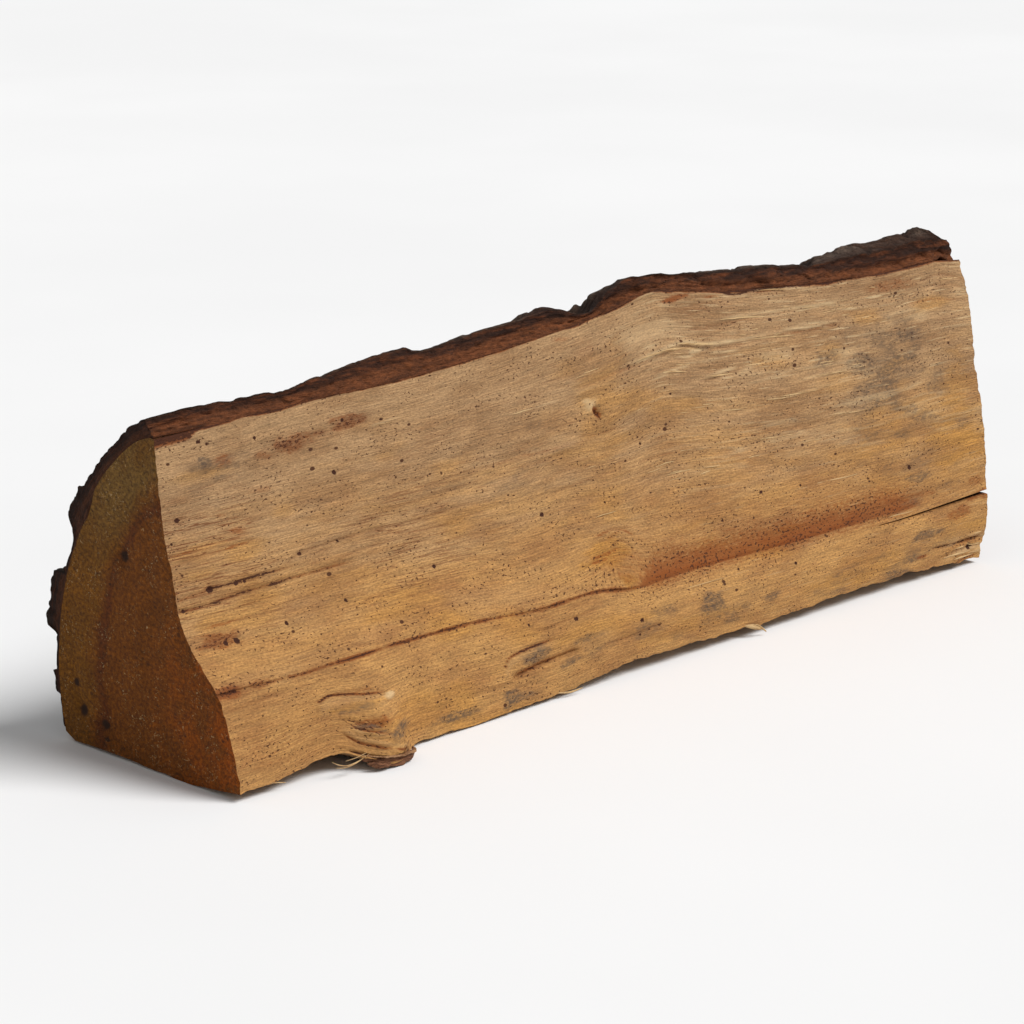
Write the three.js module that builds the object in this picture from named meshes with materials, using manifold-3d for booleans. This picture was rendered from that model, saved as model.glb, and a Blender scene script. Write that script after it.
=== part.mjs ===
// A wedge of firewood split from a round log: the wood itself, and the bark left on its rounded back.
// Millimetres, +Z up. X runs along the grain, from one sawn end to the other. The tall split face looks
// along -Y, the lower split face lies at z = 0, and the rounded back looks along +Y.
import * as THREE from "three";
import { mergeVertices } from "three/addons/utils/BufferGeometryUtils.js";
import Module from "manifold-3d";

// ---- Driving dimensions -------------------------------------------------------------------------

const LENGTH = 330; // sawn length, a common stove length
const PITH = new THREE.Vector2(-10.7, 20.1); // (y, z) of the trunk's centre line, just in front of the wedge
const TRUNK_RADIUS = 88.5; // from the pith to the outside of the wood
const SEAT_WIDTH = { from: 22, to: 72 }; // the flat stretch of the lower split face, across the grain
const BARK_GAP = 0.3; // clearance between the bark and the wood

const STATIONS = 34; // steps along the grain
const FACE_STEPS = 3; // steps between two rows of the split face
const ARC_STEPS = 14; // steps round the back
const SEAT_STEPS = 4; // steps across the flat of the lower face

// ---- Lines along the grain, each as [x, value] ----------------------------------------------------

// The toe is the lowest edge of the split face. A knot stub swells out of it near the left end.
const TOE_HEIGHT = [
  [-165, 2.5], [-150, 3.2], [-134, 5.4], [-127, 4.8], [-120, 0.8], [-110, 0.2], [-102, 0.6], [-92, 0.5],
  [-80, 1.2], [-65, 1.0], [-40, 1.8], [-5, 4.5], [46, 3.5], [80, 3.9], [120, 4.6], [141, 3.4], [165, 1.7],
];
// The seam is the crease where the face passed nearest to the pith.
const SEAM_HEIGHT = [
  [-165, 28.2], [-104, 28.6], [-38, 26.2], [-8, 25.8], [6, 23.6], [54, 22.9], [104, 24.9], [165, 27.5],
];
// The crest is the upper edge of the wood. It rises over a swelling of the trunk, right of the middle.
const CREST_HEIGHT = [
  [-165, 96.0], [-110, 98.4], [-77, 99.3], [-47, 101.5], [-15, 104.6], [3, 107.4], [22, 110.9],
  [36, 109.3], [53, 106.9], [89, 103.8], [122, 102.5], [150, 103.1], [165, 102.0],
];
// How thick the bark is along the crest, where the split broke it.
const BARK_AT_CREST = [
  [-165, 3.8], [-135, 4.0], [-110, 5.2], [-94, 6.8], [-75, 6.8], [-60, 5.6], [-36, 6.0], [-15, 5.0],
  [-6, 2.8], [5, 4.6], [22, 2.4], [35, 2.9], [62, 5.0], [104, 5.4], [112, 8.2], [140, 8.6], [156, 7.2],
  [165, 4.5],
];

// ---- The split face, as rows that run from end to end ---------------------------------------------

// Each row gives its y at the left and right ends, and its height as a share between two of the lines above.
const FACE_ROWS = [
  { left: 0.0, right: 0.5, height: (x) => along(TOE_HEIGHT, x) },
  { left: 3.2, right: -0.9, height: (x) => between(TOE_HEIGHT, SEAM_HEIGHT, 0.52, x) },
  { left: 8.8, right: 0.3, height: (x) => along(SEAM_HEIGHT, x) },
  { left: 21.1, right: 1.6, height: (x) => between(SEAM_HEIGHT, CREST_HEIGHT, 0.195, x) },
  { left: 27.1, right: 5.2, height: (x) => between(SEAM_HEIGHT, CREST_HEIGHT, 0.46, x) },
  { left: 30.8, right: 8.7, height: (x) => between(SEAM_HEIGHT, CREST_HEIGHT, 0.75, x) },
  { left: 32.8, right: 12.5, height: (x) => along(CREST_HEIGHT, x) },
];
// The knot stub stands out of the lowest rows, and the face sinks a little into the seam right of the middle.
const KNOT = { x: -114.5, halfLength: 10, reach: 10, rows: [1, 0.45, 0.1] };
const SEAM_HOLLOW = { x: 42, halfLength: 46, depth: 2.4, row: 2 };

// ---- The back ---------------------------------------------------------------------------------------

// Angles are degrees round the pith, from the horizontal. The back meets the lower face at the heel.
const HEEL = { leftAngle: -11.5, rightAngle: -12.5 };
const SWELLING_FADES_BELOW = 20;

const BARK = {
  rim: 1.6, // the thin inner bark, where the outer bark has flaked away
  back: 5.4, // over most of the back
  crestBand: 30, // over this many degrees below the crest, it takes the thickness given along the crest
  lowestAngle: -8,
  bare: { reachesX: -120, fade: 38, below: 34, fadeAngle: 7 }, // the flaked patch at the left end
  flake: { x: -165, halfLength: 22, angle: 9.5, halfAngle: 5.5, height: 2.6 }, // a scale left on it
  lift: { fromX: 146, height: 1.5, fadeAngle: 9 }, // lifted off the wood at the far crest
};

// A drying crack in the right end, a little below the seam. It runs in from the split face.
const CRACK = { tipX: 110, tipHeight: 22.2, endHeight: 24.6, gape: 1.1, depth: 14 };

// ---- Helpers ----------------------------------------------------------------------------------------

/** The value at x of a line given as [x, value] points, joined by smooth cubic stretches. */
function along(line, x) {
  const last = line.length - 1;
  let i = 0;
  while (i < last - 1 && x > line[i + 1][0]) i += 1;
  const slope = (k) => {
    const a = line[Math.max(k - 1, 0)];
    const b = line[Math.min(k + 1, last)];
    return (b[1] - a[1]) / (b[0] - a[0]);
  };
  const span = line[i + 1][0] - line[i][0];
  const t = THREE.MathUtils.clamp((x - line[i][0]) / span, 0, 1);
  const t2 = t * t;
  const t3 = t2 * t;
  return (
    (2 * t3 - 3 * t2 + 1) * line[i][1] +
    (t3 - 2 * t2 + t) * span * slope(i) +
    (3 * t2 - 2 * t3) * line[i + 1][1] +
    (t3 - t2) * span * slope(i + 1)
  );
}

/** A height that is a share of the way from one line to another. */
function between(low, high, share, x) {
  return THREE.MathUtils.lerp(along(low, x), along(high, x), share);
}

/** A bell curve: 1 at the centre, and about a third at the half width. */
function bell(x, centre, halfWidth) {
  return Math.exp(-(((x - centre) / halfWidth) ** 2));
}

/** 0 below low, 1 above high, and a smooth step between. */
function step(x, low, high) {
  return THREE.MathUtils.smoothstep(x, low, high);
}

/** How far along the log x is, from 0 at the left end to 1 at the right end. */
function share(x) {
  return x / LENGTH + 0.5;
}

/** The point at an angle in degrees and a distance from the pith. */
function roundPith(angle, radius) {
  const a = THREE.MathUtils.degToRad(angle);
  return new THREE.Vector2(PITH.x + radius * Math.cos(a), PITH.y + radius * Math.sin(a));
}

/** The point of one row of the split face at x. */
function facePoint(row, x) {
  const { left, right, height } = FACE_ROWS[row];
  let y = THREE.MathUtils.lerp(left, right, share(x));
  y -= KNOT.reach * (KNOT.rows[row] ?? 0) * bell(x, KNOT.x, KNOT.halfLength);
  if (row === SEAM_HOLLOW.row) y += SEAM_HOLLOW.depth * bell(x, SEAM_HOLLOW.x, SEAM_HOLLOW.halfLength);
  return new THREE.Vector2(y, height(x));
}

/** The split face at x, from the crest down to the toe, as a smooth curve through its rows. */
function faceOutline(x) {
  const rows = FACE_ROWS.map((_, row) => facePoint(row, x)).reverse();
  return new THREE.SplineCurve(rows).getPoints(FACE_STEPS * (rows.length - 1));
}

/** The angle and radius of the crest about the pith at x. */
function crestPolar(x) {
  const crest = facePoint(FACE_ROWS.length - 1, x).sub(PITH);
  return { angle: THREE.MathUtils.radToDeg(crest.angle()), radius: crest.length() };
}

/** The angle of the heel about the pith at x. */
function heelAngle(x) {
  return THREE.MathUtils.lerp(HEEL.leftAngle, HEEL.rightAngle, share(x));
}

/** The radius of the wood at an angle about the pith. The swelling at the crest dies away round the back. */
function woodRadius(x, angle) {
  const crest = crestPolar(x);
  return THREE.MathUtils.lerp(TRUNK_RADIUS, crest.radius, step(angle, SWELLING_FADES_BELOW, crest.angle));
}

/** The thickness of the bark at x and an angle about the pith. */
function barkThickness(x, angle) {
  const crest = crestPolar(x).angle;
  const nearCrest = step(angle, crest - BARK.crestBand, crest);
  const full = THREE.MathUtils.lerp(BARK.back, along(BARK_AT_CREST, x), nearCrest);
  const { reachesX, fade, below, fadeAngle } = BARK.bare;
  const bare = (1 - step(x, reachesX - fade / 2, reachesX + fade / 2)) *
    (1 - step(angle, below - fadeAngle, below + fadeAngle));
  const flake = BARK.flake.height * bell(x, BARK.flake.x, BARK.flake.halfLength) *
    bell(angle, BARK.flake.angle, BARK.flake.halfAngle);
  return THREE.MathUtils.lerp(full, BARK.rim + flake, bare);
}

/** How far the inside of the bark stands off the wood: a hair everywhere, and more where it has lifted. */
function barkGap(x, angle) {
  const crest = crestPolar(x).angle;
  const lifted = step(x, BARK.lift.fromX, LENGTH / 2) * step(angle, crest - BARK.lift.fadeAngle, crest);
  return BARK_GAP + BARK.lift.height * lifted;
}

/** An arc of the back from one angle to another. radiusAt gives the radius at each angle. */
function backArc(from, to, radiusAt) {
  return Array.from({ length: ARC_STEPS + 1 }, (_, i) => {
    const angle = THREE.MathUtils.lerp(from, to, i / ARC_STEPS);
    return roundPith(angle, radiusAt(angle));
  });
}

/** The wood's section at x, counter-clockwise from the flat seat, up the back and down the split face. */
function woodOutline(x) {
  const seat = Array.from({ length: SEAT_STEPS + 1 }, (_, i) =>
    new THREE.Vector2(THREE.MathUtils.lerp(SEAT_WIDTH.from, SEAT_WIDTH.to, i / SEAT_STEPS), 0));
  const back = backArc(heelAngle(x), crestPolar(x).angle, (angle) => woodRadius(x, angle));
  const face = faceOutline(x).slice(1);
  return [...seat, ...back, ...face];
}

/** The bark's section at x: its outside from the lowest angle up to the crest, then its inside back down. */
function barkOutline(x) {
  const crest = crestPolar(x).angle;
  const inside = (angle) => woodRadius(x, angle) + barkGap(x, angle);
  const outer = backArc(BARK.lowestAngle, crest, (angle) => inside(angle) + barkThickness(x, angle));
  const inner = backArc(crest, BARK.lowestAngle, inside);
  return [...outer, ...inner];
}

/** A closed solid through the sections that outlineAt gives from one end of the log to the other. */
function loft(outlineAt) {
  const xs = Array.from({ length: STATIONS + 1 }, (_, i) => LENGTH * (i / STATIONS - 0.5));
  const outlines = xs.map(outlineAt);
  const count = outlines[0].length;
  const positions = outlines.flatMap((outline, i) => outline.flatMap((p) => [xs[i], p.x, p.y]));
  const index = [];
  for (let i = 0; i < STATIONS; i += 1) {
    for (let j = 0; j < count; j += 1) {
      const a = i * count + j;
      const b = i * count + ((j + 1) % count);
      index.push(a, b, b + count, a, b + count, a + count);
    }
  }
  const last = STATIONS * count;
  const { triangulateShape } = THREE.ShapeUtils;
  for (const [a, b, c] of triangulateShape(outlines[0], [])) index.push(a, c, b);
  for (const [a, b, c] of triangulateShape(outlines[STATIONS], [])) index.push(last + a, last + b, last + c);
  const geometry = new THREE.BufferGeometry();
  geometry.setAttribute("position", new THREE.Float32BufferAttribute(positions, 3));
  geometry.setIndex(index);
  return geometry;
}

/** The space of the drying crack: a thin wedge that gapes at the right end and closes at its tip. */
function crackWedge() {
  const beyond = 4; // the wedge runs past the sawn end and past the split face, to cut clean through both
  const inFront = 12;
  const end = LENGTH / 2 + beyond;
  const shape = new THREE.Shape([
    new THREE.Vector2(CRACK.tipX, CRACK.tipHeight),
    new THREE.Vector2(end, CRACK.endHeight - CRACK.gape / 2),
    new THREE.Vector2(end, CRACK.endHeight + CRACK.gape / 2),
  ]);
  const wedge = new THREE.ExtrudeGeometry(shape, { depth: CRACK.depth + inFront, bevelEnabled: false });
  return wedge.rotateX(Math.PI / 2).translate(0, CRACK.depth, 0);
}

// ---- Solids -----------------------------------------------------------------------------------------

const wasm = await Module();
wasm.setup();

/** A geometry as a manifold solid. */
function solid(geometry) {
  const bare = new THREE.BufferGeometry().setAttribute("position", geometry.getAttribute("position"));
  bare.setIndex(geometry.index);
  const merged = mergeVertices(bare);
  return new wasm.Manifold(new wasm.Mesh({
    numProp: 3,
    vertProperties: merged.attributes.position.array,
    triVerts: new Uint32Array(merged.index.array),
  }));
}

/** A manifold solid as a geometry. */
function geometryOf(made) {
  const mesh = made.getMesh();
  const geometry = new THREE.BufferGeometry();
  geometry.setAttribute("position", new THREE.BufferAttribute(mesh.vertProperties, 3));
  geometry.setIndex(new THREE.BufferAttribute(mesh.triVerts, 1));
  geometry.computeVertexNormals();
  return geometry;
}

/** A named mesh with its own material. */
function part(name, geometry, colour, roughness) {
  const material = new THREE.MeshStandardMaterial({ color: colour, roughness, metalness: 0 });
  const mesh = new THREE.Mesh(geometry, material);
  mesh.name = name;
  return mesh;
}

const wood = solid(loft(woodOutline)).subtract(solid(crackWedge()));
const splitWood = part("split_wood", geometryOf(wood), 0xc09465, 0.85);
const bark = part("bark", loft(barkOutline), 0x4b3021, 0.95);

// The log's own frame has its origin at the middle of its base.
const log = new THREE.Group();
log.add(splitWood, bark);
const bounds = new THREE.Box3().setFromObject(log);
const middle = bounds.getCenter(new THREE.Vector3());
for (const mesh of log.children) mesh.position.set(-middle.x, -middle.y, -bounds.min.z);

export default log;
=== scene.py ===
"""A split log: a wedge of firewood with its bark, finished around the frame of the designed part.

Lengths in this file are millimetres until a mesh is made, and angles are degrees round the pith. X runs along
the grain, the tall split face looks along -Y, and the bark covers the rounded back.
"""
import logging
import math
from dataclasses import dataclass, field
from enum import Enum
from functools import reduce
from typing import Optional, Sequence, Union

import bpy
import numpy as np
from mathutils import Matrix, Vector


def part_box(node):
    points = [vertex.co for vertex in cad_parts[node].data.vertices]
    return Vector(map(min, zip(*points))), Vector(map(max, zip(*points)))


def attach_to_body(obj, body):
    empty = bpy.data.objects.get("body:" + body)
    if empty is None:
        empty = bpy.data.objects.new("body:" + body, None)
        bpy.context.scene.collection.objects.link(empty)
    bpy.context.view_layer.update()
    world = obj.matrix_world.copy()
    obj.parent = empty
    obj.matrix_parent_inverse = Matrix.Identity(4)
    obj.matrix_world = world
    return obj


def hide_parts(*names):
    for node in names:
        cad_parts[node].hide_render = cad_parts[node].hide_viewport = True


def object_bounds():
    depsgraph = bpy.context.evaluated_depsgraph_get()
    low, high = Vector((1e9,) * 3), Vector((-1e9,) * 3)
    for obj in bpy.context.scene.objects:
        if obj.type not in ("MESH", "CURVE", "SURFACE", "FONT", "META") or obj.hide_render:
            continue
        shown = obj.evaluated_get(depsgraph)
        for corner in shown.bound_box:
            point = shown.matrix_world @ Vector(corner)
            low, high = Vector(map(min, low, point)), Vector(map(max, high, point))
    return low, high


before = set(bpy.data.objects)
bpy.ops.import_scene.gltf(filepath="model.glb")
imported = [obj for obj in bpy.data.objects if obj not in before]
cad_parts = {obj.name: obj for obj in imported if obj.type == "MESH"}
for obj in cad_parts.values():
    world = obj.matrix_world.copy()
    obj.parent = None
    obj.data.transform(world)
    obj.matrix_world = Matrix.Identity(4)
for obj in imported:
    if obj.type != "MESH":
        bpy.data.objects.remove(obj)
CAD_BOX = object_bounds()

log = logging.getLogger("split_log")

Array = np.ndarray
Colour = tuple[float, float, float, float]
Material = bpy.types.Material
Object = bpy.types.Object
Socket = bpy.types.NodeSocket
Value = Union[Socket, float]
Tone = Union[Socket, Colour]

MM = 0.001
ROOT = "root"

# ---- The designed part's own lines, repeated here because the wood and bark grow out of them --------------

PITH_Y, PITH_Z = -10.7, 20.1
TRUNK_RADIUS = 88.5
SEAT_FROM, SEAT_TO = 22.0, 72.0
HEEL_LEFT, HEEL_RIGHT = -11.5, -12.5
SWELLING_FADES_BELOW = 20.0
SHOULDER = 2.5


class Stain(Enum):
    """What a mark does to the colour of the wood."""

    MOULD = "mould"
    # Rust, together with painted shadow in its colour along the ledges' edges, under the stub's top layer, in
    # the dent and over the seam.
    RUST_AND_SHADE = "rust_and_shade"
    DARK = "dark"
    PALE = "pale"
    OCHRE = "ochre"
    LINED = "lined"
    SPOT = "spot"


# ---- Small numeric helpers -------------------------------------------------------------------------------


def smooth_step(value: Array, low: float, high: float) -> Array:
    """0 below low, 1 above high, and the cubic 3t^2 - 2t^3 between them."""
    t = between(value, low, high)
    return t * t * (3.0 - 2.0 * t)


def bell(value: Array, centre: float, half_width: float) -> Array:
    """A bell curve, exp(-(distance / half width)^2)."""
    return np.exp(-(((value - centre) / half_width) ** 2))


def between(value: Array, low: float, high: float) -> Array:
    """The share of the way from low to high, held at its ends."""
    return np.clip((value - low) / (high - low), 0.0, 1.0)


def mix(a: Array, b: Array, share: Array) -> Array:
    """The point that is a share of the way from a to b."""
    return a + (b - a) * share


@dataclass(frozen=True)
class Line:
    """A value that changes along the grain: given at a few places, and smooth between them."""

    points: tuple[tuple[float, float], ...]

    def at(self, x: Array) -> Array:
        """The value at x: a cubic Hermite curve whose inner slopes are those of the chord past each point.

        Args:
            x: positions along the grain.

        Returns:
            One value for each position.
        """
        px, pv = np.array(self.points).T
        slope = np.empty_like(pv)
        slope[1:-1] = (pv[2:] - pv[:-2]) / (px[2:] - px[:-2])
        slope[0] = (pv[1] - pv[0]) / (px[1] - px[0])
        slope[-1] = (pv[-1] - pv[-2]) / (px[-1] - px[-2])
        i = np.clip(np.searchsorted(px, x, side="right") - 1, 0, len(px) - 2)
        span = px[i + 1] - px[i]
        t = np.clip((x - px[i]) / span, 0.0, 1.0)
        t2, t3 = t * t, t * t * t
        near = (2 * t3 - 3 * t2 + 1) * pv[i] + (t3 - 2 * t2 + t) * span * slope[i]
        far = (3 * t2 - 2 * t3) * pv[i + 1] + (t3 - t2) * span * slope[i + 1]
        return near + far

    @property
    def ends(self) -> tuple[float, float]:
        """The first and last place along the grain."""
        return self.points[0][0], self.points[-1][0]


TOE = Line((
    (-165, 2.5), (-150, 3.2), (-134, 5.6), (-127, 5.2), (-120, 2.2), (-110, 1.6), (-102, 1.5), (-92, 1.0),
    (-80, 1.2), (-65, 1.0), (-40, 1.8), (-5, 4.5), (46, 3.5), (80, 3.9), (120, 4.6), (141, 3.4), (165, 1.7)))
SEAM = Line((
    (-165, 28.8), (-147, 28.6), (-134, 28.2), (-119, 29.0), (-97, 29.2), (-66, 28.8), (-42, 27.2),
    (-20, 27.7), (-10, 26.4), (0, 24.8), (18, 25.3), (48, 25.2), (80, 25.4), (103, 26.1), (125, 26.0),
    (165, 27.5)))
CREST = Line((
    (-165, 96.0), (-110, 98.4), (-77, 99.3), (-47, 101.5), (-15, 104.6), (3, 107.4), (22, 110.9),
    (36, 109.3), (53, 106.9), (89, 103.8), (122, 102.5), (150, 103.1), (165, 102.0)))
BARK_AT_CREST = Line((
    (-165, 6.6), (-150, 6.8), (-135, 5.9), (-118, 5.4), (-105, 6.2), (-94, 7.6), (-84, 8.6), (-76, 9.0),
    (-72.5, 9.2), (-70, 7.0), (-64, 6.4), (-48, 7.4), (-30, 7.2), (-20, 8.0), (-14, 6.4), (-8, 3.4),
    (-2, 3.0), (4, 6.0), (13, 6.8), (22, 5.2), (35, 6.0), (48, 6.6), (62, 6.4), (75, 6.8), (90, 6.2),
    (103, 6.2), (112, 6.4), (122, 6.2), (140, 6.6), (150, 6.8), (158, 6.8), (165, 6.4)))
BARK_HUMP = Line((
    (-165, 0.0), (-35, 0.0), (-30, -0.8), (-24, 0.0), (-18, 1.6), (-14, 1.6), (-10, -0.4), (-4, -2.2),
    (0, -3.2), (4, -1.4), (9, 0.2), (40, 0.0), (58, 2.0), (80, 2.4), (92, 1.8), (99, 0.8), (104, 3.0),
    (110, 3.2), (115.5, 4.8), (121, 6.0), (134, 4.8), (143, 5.5), (152, 5.5), (165, 5.4)))

FACE_LEFT_Y = (0.0, 3.2, 8.8, 21.1, 27.1, 30.8, 32.8)
FACE_RIGHT_Y = (0.5, -0.9, 0.3, 1.6, 5.2, 8.7, 12.5)
LOWER_SHARE = 0.52
UPPER_SHARES = (0.195, 0.46, 0.75)
SEAM_ROW = 2
KNOT_X, KNOT_HALF, KNOT_REACH = -114.5, 10.0, 10.0
KNOT_ROWS = (1.0, 0.45, 0.1, 0.0, 0.0, 0.0, 0.0)
HOLLOW_X, HOLLOW_HALF, HOLLOW_DEPTH = 42.0, 46.0, 2.4

# The worm holes in the -X end: y, z, the pit's radius and that of the dark disc painted in it as the hole's
# shade.
WORM_HOLES = ((47.5, 60.2, 1.9, 1.5), (70.4, 18.4, 1.6, 1.2), (67.7, 10.7, 2.2, 1.7), (58.0, 8.6, 1.7, 1.4))
WORM_DEPTH = 1.4


@dataclass(frozen=True)
class Trunk:
    """The round log that the wedge was split from, and where it stands in the frame."""

    half_length: float
    shift: tuple[float, float, float]

    @classmethod
    def from_frame(cls) -> "Trunk":
        """The trunk that fits the designed wood's box: its back is a trunk radius behind the pith.

        Returns:
            The trunk.
        """
        low, high = (np.array(corner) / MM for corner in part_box("split_wood"))
        shift = ((low[0] + high[0]) / 2, float(high[1]) - PITH_Y - TRUNK_RADIUS, float(low[2]))
        return cls(float(high[0] - low[0]) / 2, shift)

    def place(self, points: Array) -> Array:
        """Points of the trunk, in millimetres, moved to the frame and turned to metres."""
        return (points + np.array(self.shift)) * MM

    def share(self, x: Array) -> Array:
        """How far along the log x is, from 0 to 1."""
        return x / (2 * self.half_length) + 0.5

    def face_rows(self, x: Array) -> Array:
        """The rows of the split face from toe to crest, as an array of rows, places and (y, z).

        Args:
            x: places along the grain.

        Returns:
            An array of shape (rows, places, 2).
        """
        toe, seam, crest = TOE.at(x), SEAM.at(x), CREST.at(x)
        heights = [toe, mix(toe, seam, LOWER_SHARE), seam]
        heights += [mix(seam, crest, share) for share in UPPER_SHARES] + [crest]
        left, right, knot = (np.array(row)[:, None] for row in (FACE_LEFT_Y, FACE_RIGHT_Y, KNOT_ROWS))
        y = mix(left, right, self.share(x)[None]) - KNOT_REACH * knot * bell(x, KNOT_X, KNOT_HALF)[None]
        y[SEAM_ROW] += HOLLOW_DEPTH * bell(x, HOLLOW_X, HOLLOW_HALF)
        return np.stack([y, np.array(heights)], axis=-1)

    def face(self, x: Array, t: Array) -> Array:
        """Points of the smooth split face: a Catmull-Rom curve through the rows at each place.

        Args:
            x: places along the grain, of shape (n,).
            t: how far up the face, counted in rows from the toe, of shape (n, m).

        Returns:
            (y, z) of shape (n, m, 2).
        """
        rows = self.face_rows(x)
        last = len(rows) - 1
        i = np.clip(np.floor(t).astype(int), 0, last - 1)
        f = (t - i)[..., None]
        place = np.arange(len(x))[:, None]
        p0, p1 = rows[np.maximum(i - 1, 0), place], rows[i, place]
        p2, p3 = rows[i + 1, place], rows[np.minimum(i + 2, last), place]
        v0, v1 = (p2 - p0) / 2, (p3 - p1) / 2
        return ((2 * p1 - 2 * p2 + v0 + v1) * f**3 + (-3 * p1 + 3 * p2 - 2 * v0 - v1) * f**2 + v0 * f + p1)

    def crest_polar(self, x: Array) -> tuple[Array, Array]:
        """The angle and radius of the crest about the pith."""
        crest = self.face_rows(x)[-1] - np.array([PITH_Y, PITH_Z])
        return np.degrees(np.arctan2(crest[:, 1], crest[:, 0])), np.hypot(crest[:, 0], crest[:, 1])

    def heel_angle(self, x: Array) -> Array:
        """The angle of the heel, where the back meets the lower face."""
        return mix(HEEL_LEFT, HEEL_RIGHT, self.share(x))

    def wood_radius(self, x: Array, angle: Array) -> Array:
        """The radius of the wood. The swelling at the crest dies away round the back.

        Args:
            x: places along the grain.
            angle: angles round the pith, in degrees.

        Returns:
            Millimetres.
        """
        crest_angle, crest_radius = (part[:, None] for part in self.crest_polar(x))
        swollen = smooth_step(angle, SWELLING_FADES_BELOW, crest_angle)
        return mix(TRUNK_RADIUS, crest_radius, swollen) + self.shoulder(x, angle)

    def shoulder(self, x: Array, angle: Array) -> Array:
        """How much farther out the wood reaches at the -X end, between the back and the crest."""
        rise = smooth_step(angle, 34, 41) * (1 - smooth_step(angle, 54, 64))
        return SHOULDER * bell(x, -166, 30)[:, None] * rise


def around_pith(angle: Array, radius: Array) -> tuple[Array, Array]:
    """(y, z) of points given by their angle in degrees and their distance from the pith."""
    a = np.radians(angle)
    return PITH_Y + radius * np.cos(a), PITH_Z + radius * np.sin(a)


# ---- Random fields ---------------------------------------------------------------------------------------


@dataclass(frozen=True)
class Field:
    """A smooth random field over a plane. The same seed always gives the same field."""

    seed: int
    size: int = 128

    def value(self, u: Array, v: Array) -> Array:
        """Random numbers from -1 to 1 at the whole-number places, blended between them by a quintic step.

        Args:
            u: places along one axis of the plane.
            v: places along the other.

        Returns:
            One number for each place.
        """
        table = np.random.default_rng(self.seed).uniform(-1.0, 1.0, (self.size, self.size))
        iu, iv = np.floor(u).astype(int), np.floor(v).astype(int)
        fu, fv = u - iu, v - iv
        su = fu**3 * (fu * (fu * 6 - 15) + 10)
        sv = fv**3 * (fv * (fv * 6 - 15) + 10)
        u0, u1, v0, v1 = iu % self.size, (iu + 1) % self.size, iv % self.size, (iv + 1) % self.size
        return mix(mix(table[u0, v0], table[u1, v0], su), mix(table[u0, v1], table[u1, v1], su), sv)

    def fractal(self, u: Array, v: Array, octaves: int = 4, gain: float = 0.5) -> Array:
        """A sum of fields, each twice as fine as the last and weaker by the gain, scaled back to about -1 to 1.

        Args:
            u: places along one axis of the plane.
            v: places along the other.
            octaves: how many fields to add.
            gain: how much weaker each is than the last.

        Returns:
            One number for each place.
        """
        total, weight, norm = np.zeros(np.broadcast(u, v).shape), 1.0, 0.0
        for octave in range(octaves):
            other = Field(self.seed + 101 * octave, self.size)
            total += weight * other.value(u * 2**octave + 17.3 * octave, v * 2**octave + 9.1 * octave)
            norm += weight
            weight *= gain
        return total / norm

    def creases(self, u: Array, v: Array, sharpness: float = 6.0) -> Array:
        """Thin lines where the field crosses zero: 1 on the line, and falling off as a bell beside it."""
        return np.exp(-((self.fractal(u, v, 2) * sharpness) ** 2))

    def cells(self, u: Array, v: Array) -> tuple[Array, Array]:
        """Worley cells: each square of the plane holds one random seed point.

        Args:
            u, v: places in the plane.

        Returns:
            How much farther the second nearest seed point is than the nearest, which is 0 on the walls
            between cells, and a random number from 0 to 1 for the cell.
        """
        rng = np.random.default_rng(self.seed)
        jitter = rng.uniform(0.08, 0.92, (self.size, self.size, 2))
        name = rng.uniform(0.0, 1.0, (self.size, self.size))
        iu, iv = np.floor(u).astype(int), np.floor(v).astype(int)
        nearest = np.full(np.broadcast(u, v).shape, 9.0)
        second, cell = nearest.copy(), np.zeros_like(nearest)
        for du in (-1, 0, 1):
            for dv in (-1, 0, 1):
                a, b = (iu + du) % self.size, (iv + dv) % self.size
                distance = np.hypot(iu + du + jitter[a, b, 0] - u, iv + dv + jitter[a, b, 1] - v)
                closer = distance < nearest
                second = np.where(closer, nearest, np.minimum(second, distance))
                cell = np.where(closer, name[a, b], cell)
                nearest = np.where(closer, distance, nearest)
        return second - nearest, cell


# ---- Marks on the split face -----------------------------------------------------------------------------


@dataclass(frozen=True)
class Blob:
    """A stain, hole or patch on the split face, at x along the grain and z above the floor."""

    stain: Stain
    x: float
    z: float
    long: float
    tall: float
    strength: float = 1.0
    sink: float = 0.0


@dataclass(frozen=True)
class Groove:
    """A line along the grain: a crack, a fold or a torn ridge, with a stain of its own."""

    stain: Stain
    path: Line
    width: float
    depth: float
    strength: float = 1.0
    fade: float = 8.0

    def mask(self, x: Array, z: Array) -> Array:
        """1 on the line and falling off as a bell across it, with both ends fading out.

        Args:
            x: places along the grain.
            z: heights above the floor.

        Returns:
            The mask.
        """
        first, last = self.path.ends
        half = self.fade / 2
        ends = smooth_step(x, first - half, first + half) * (1 - smooth_step(x, last - half, last + half))
        return ends * bell(z, self.path.at(x), 0.8 * self.width)


@dataclass(frozen=True)
class Ledge:
    """A torn layer of wood that stands proud on one side of a path, with a sharp edge along the path."""

    path: Line
    drop: float
    height: float
    below: bool = True

    def shape(self, x: Array, z: Array) -> tuple[Array, Array]:
        """How much of the layer stands here, and the line of painted shadow just outside its sharp edge.

        The layer stands full at the path, and falls back to nothing at the drop's distance from it.

        Args:
            x: places along the grain.
            z: heights above the floor.

        Returns:
            Both masks.
        """
        first, last = self.path.ends
        ends = smooth_step(x, first - 0.7, first + 0.7) * (1 - smooth_step(x, mix(first, last, 0.6), last))
        inside = (self.path.at(x) - z) * (1.0 if self.below else -1.0)
        proud = smooth_step(inside, -0.35, 0.35) * (1 - smooth_step(inside, 0.35 * self.drop, self.drop))
        return ends * proud, ends * bell(inside, -0.45, 0.42)


RUST_HEIGHT = Line((
    (-165, 0.0), (-8, 0.0), (4, 2.0), (14, 4.0), (26, 3.4), (38, 2.4), (60, 2.2), (90, 2.2), (106, 1.4),
    (116, 0.0), (165, 0.0)))


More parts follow.
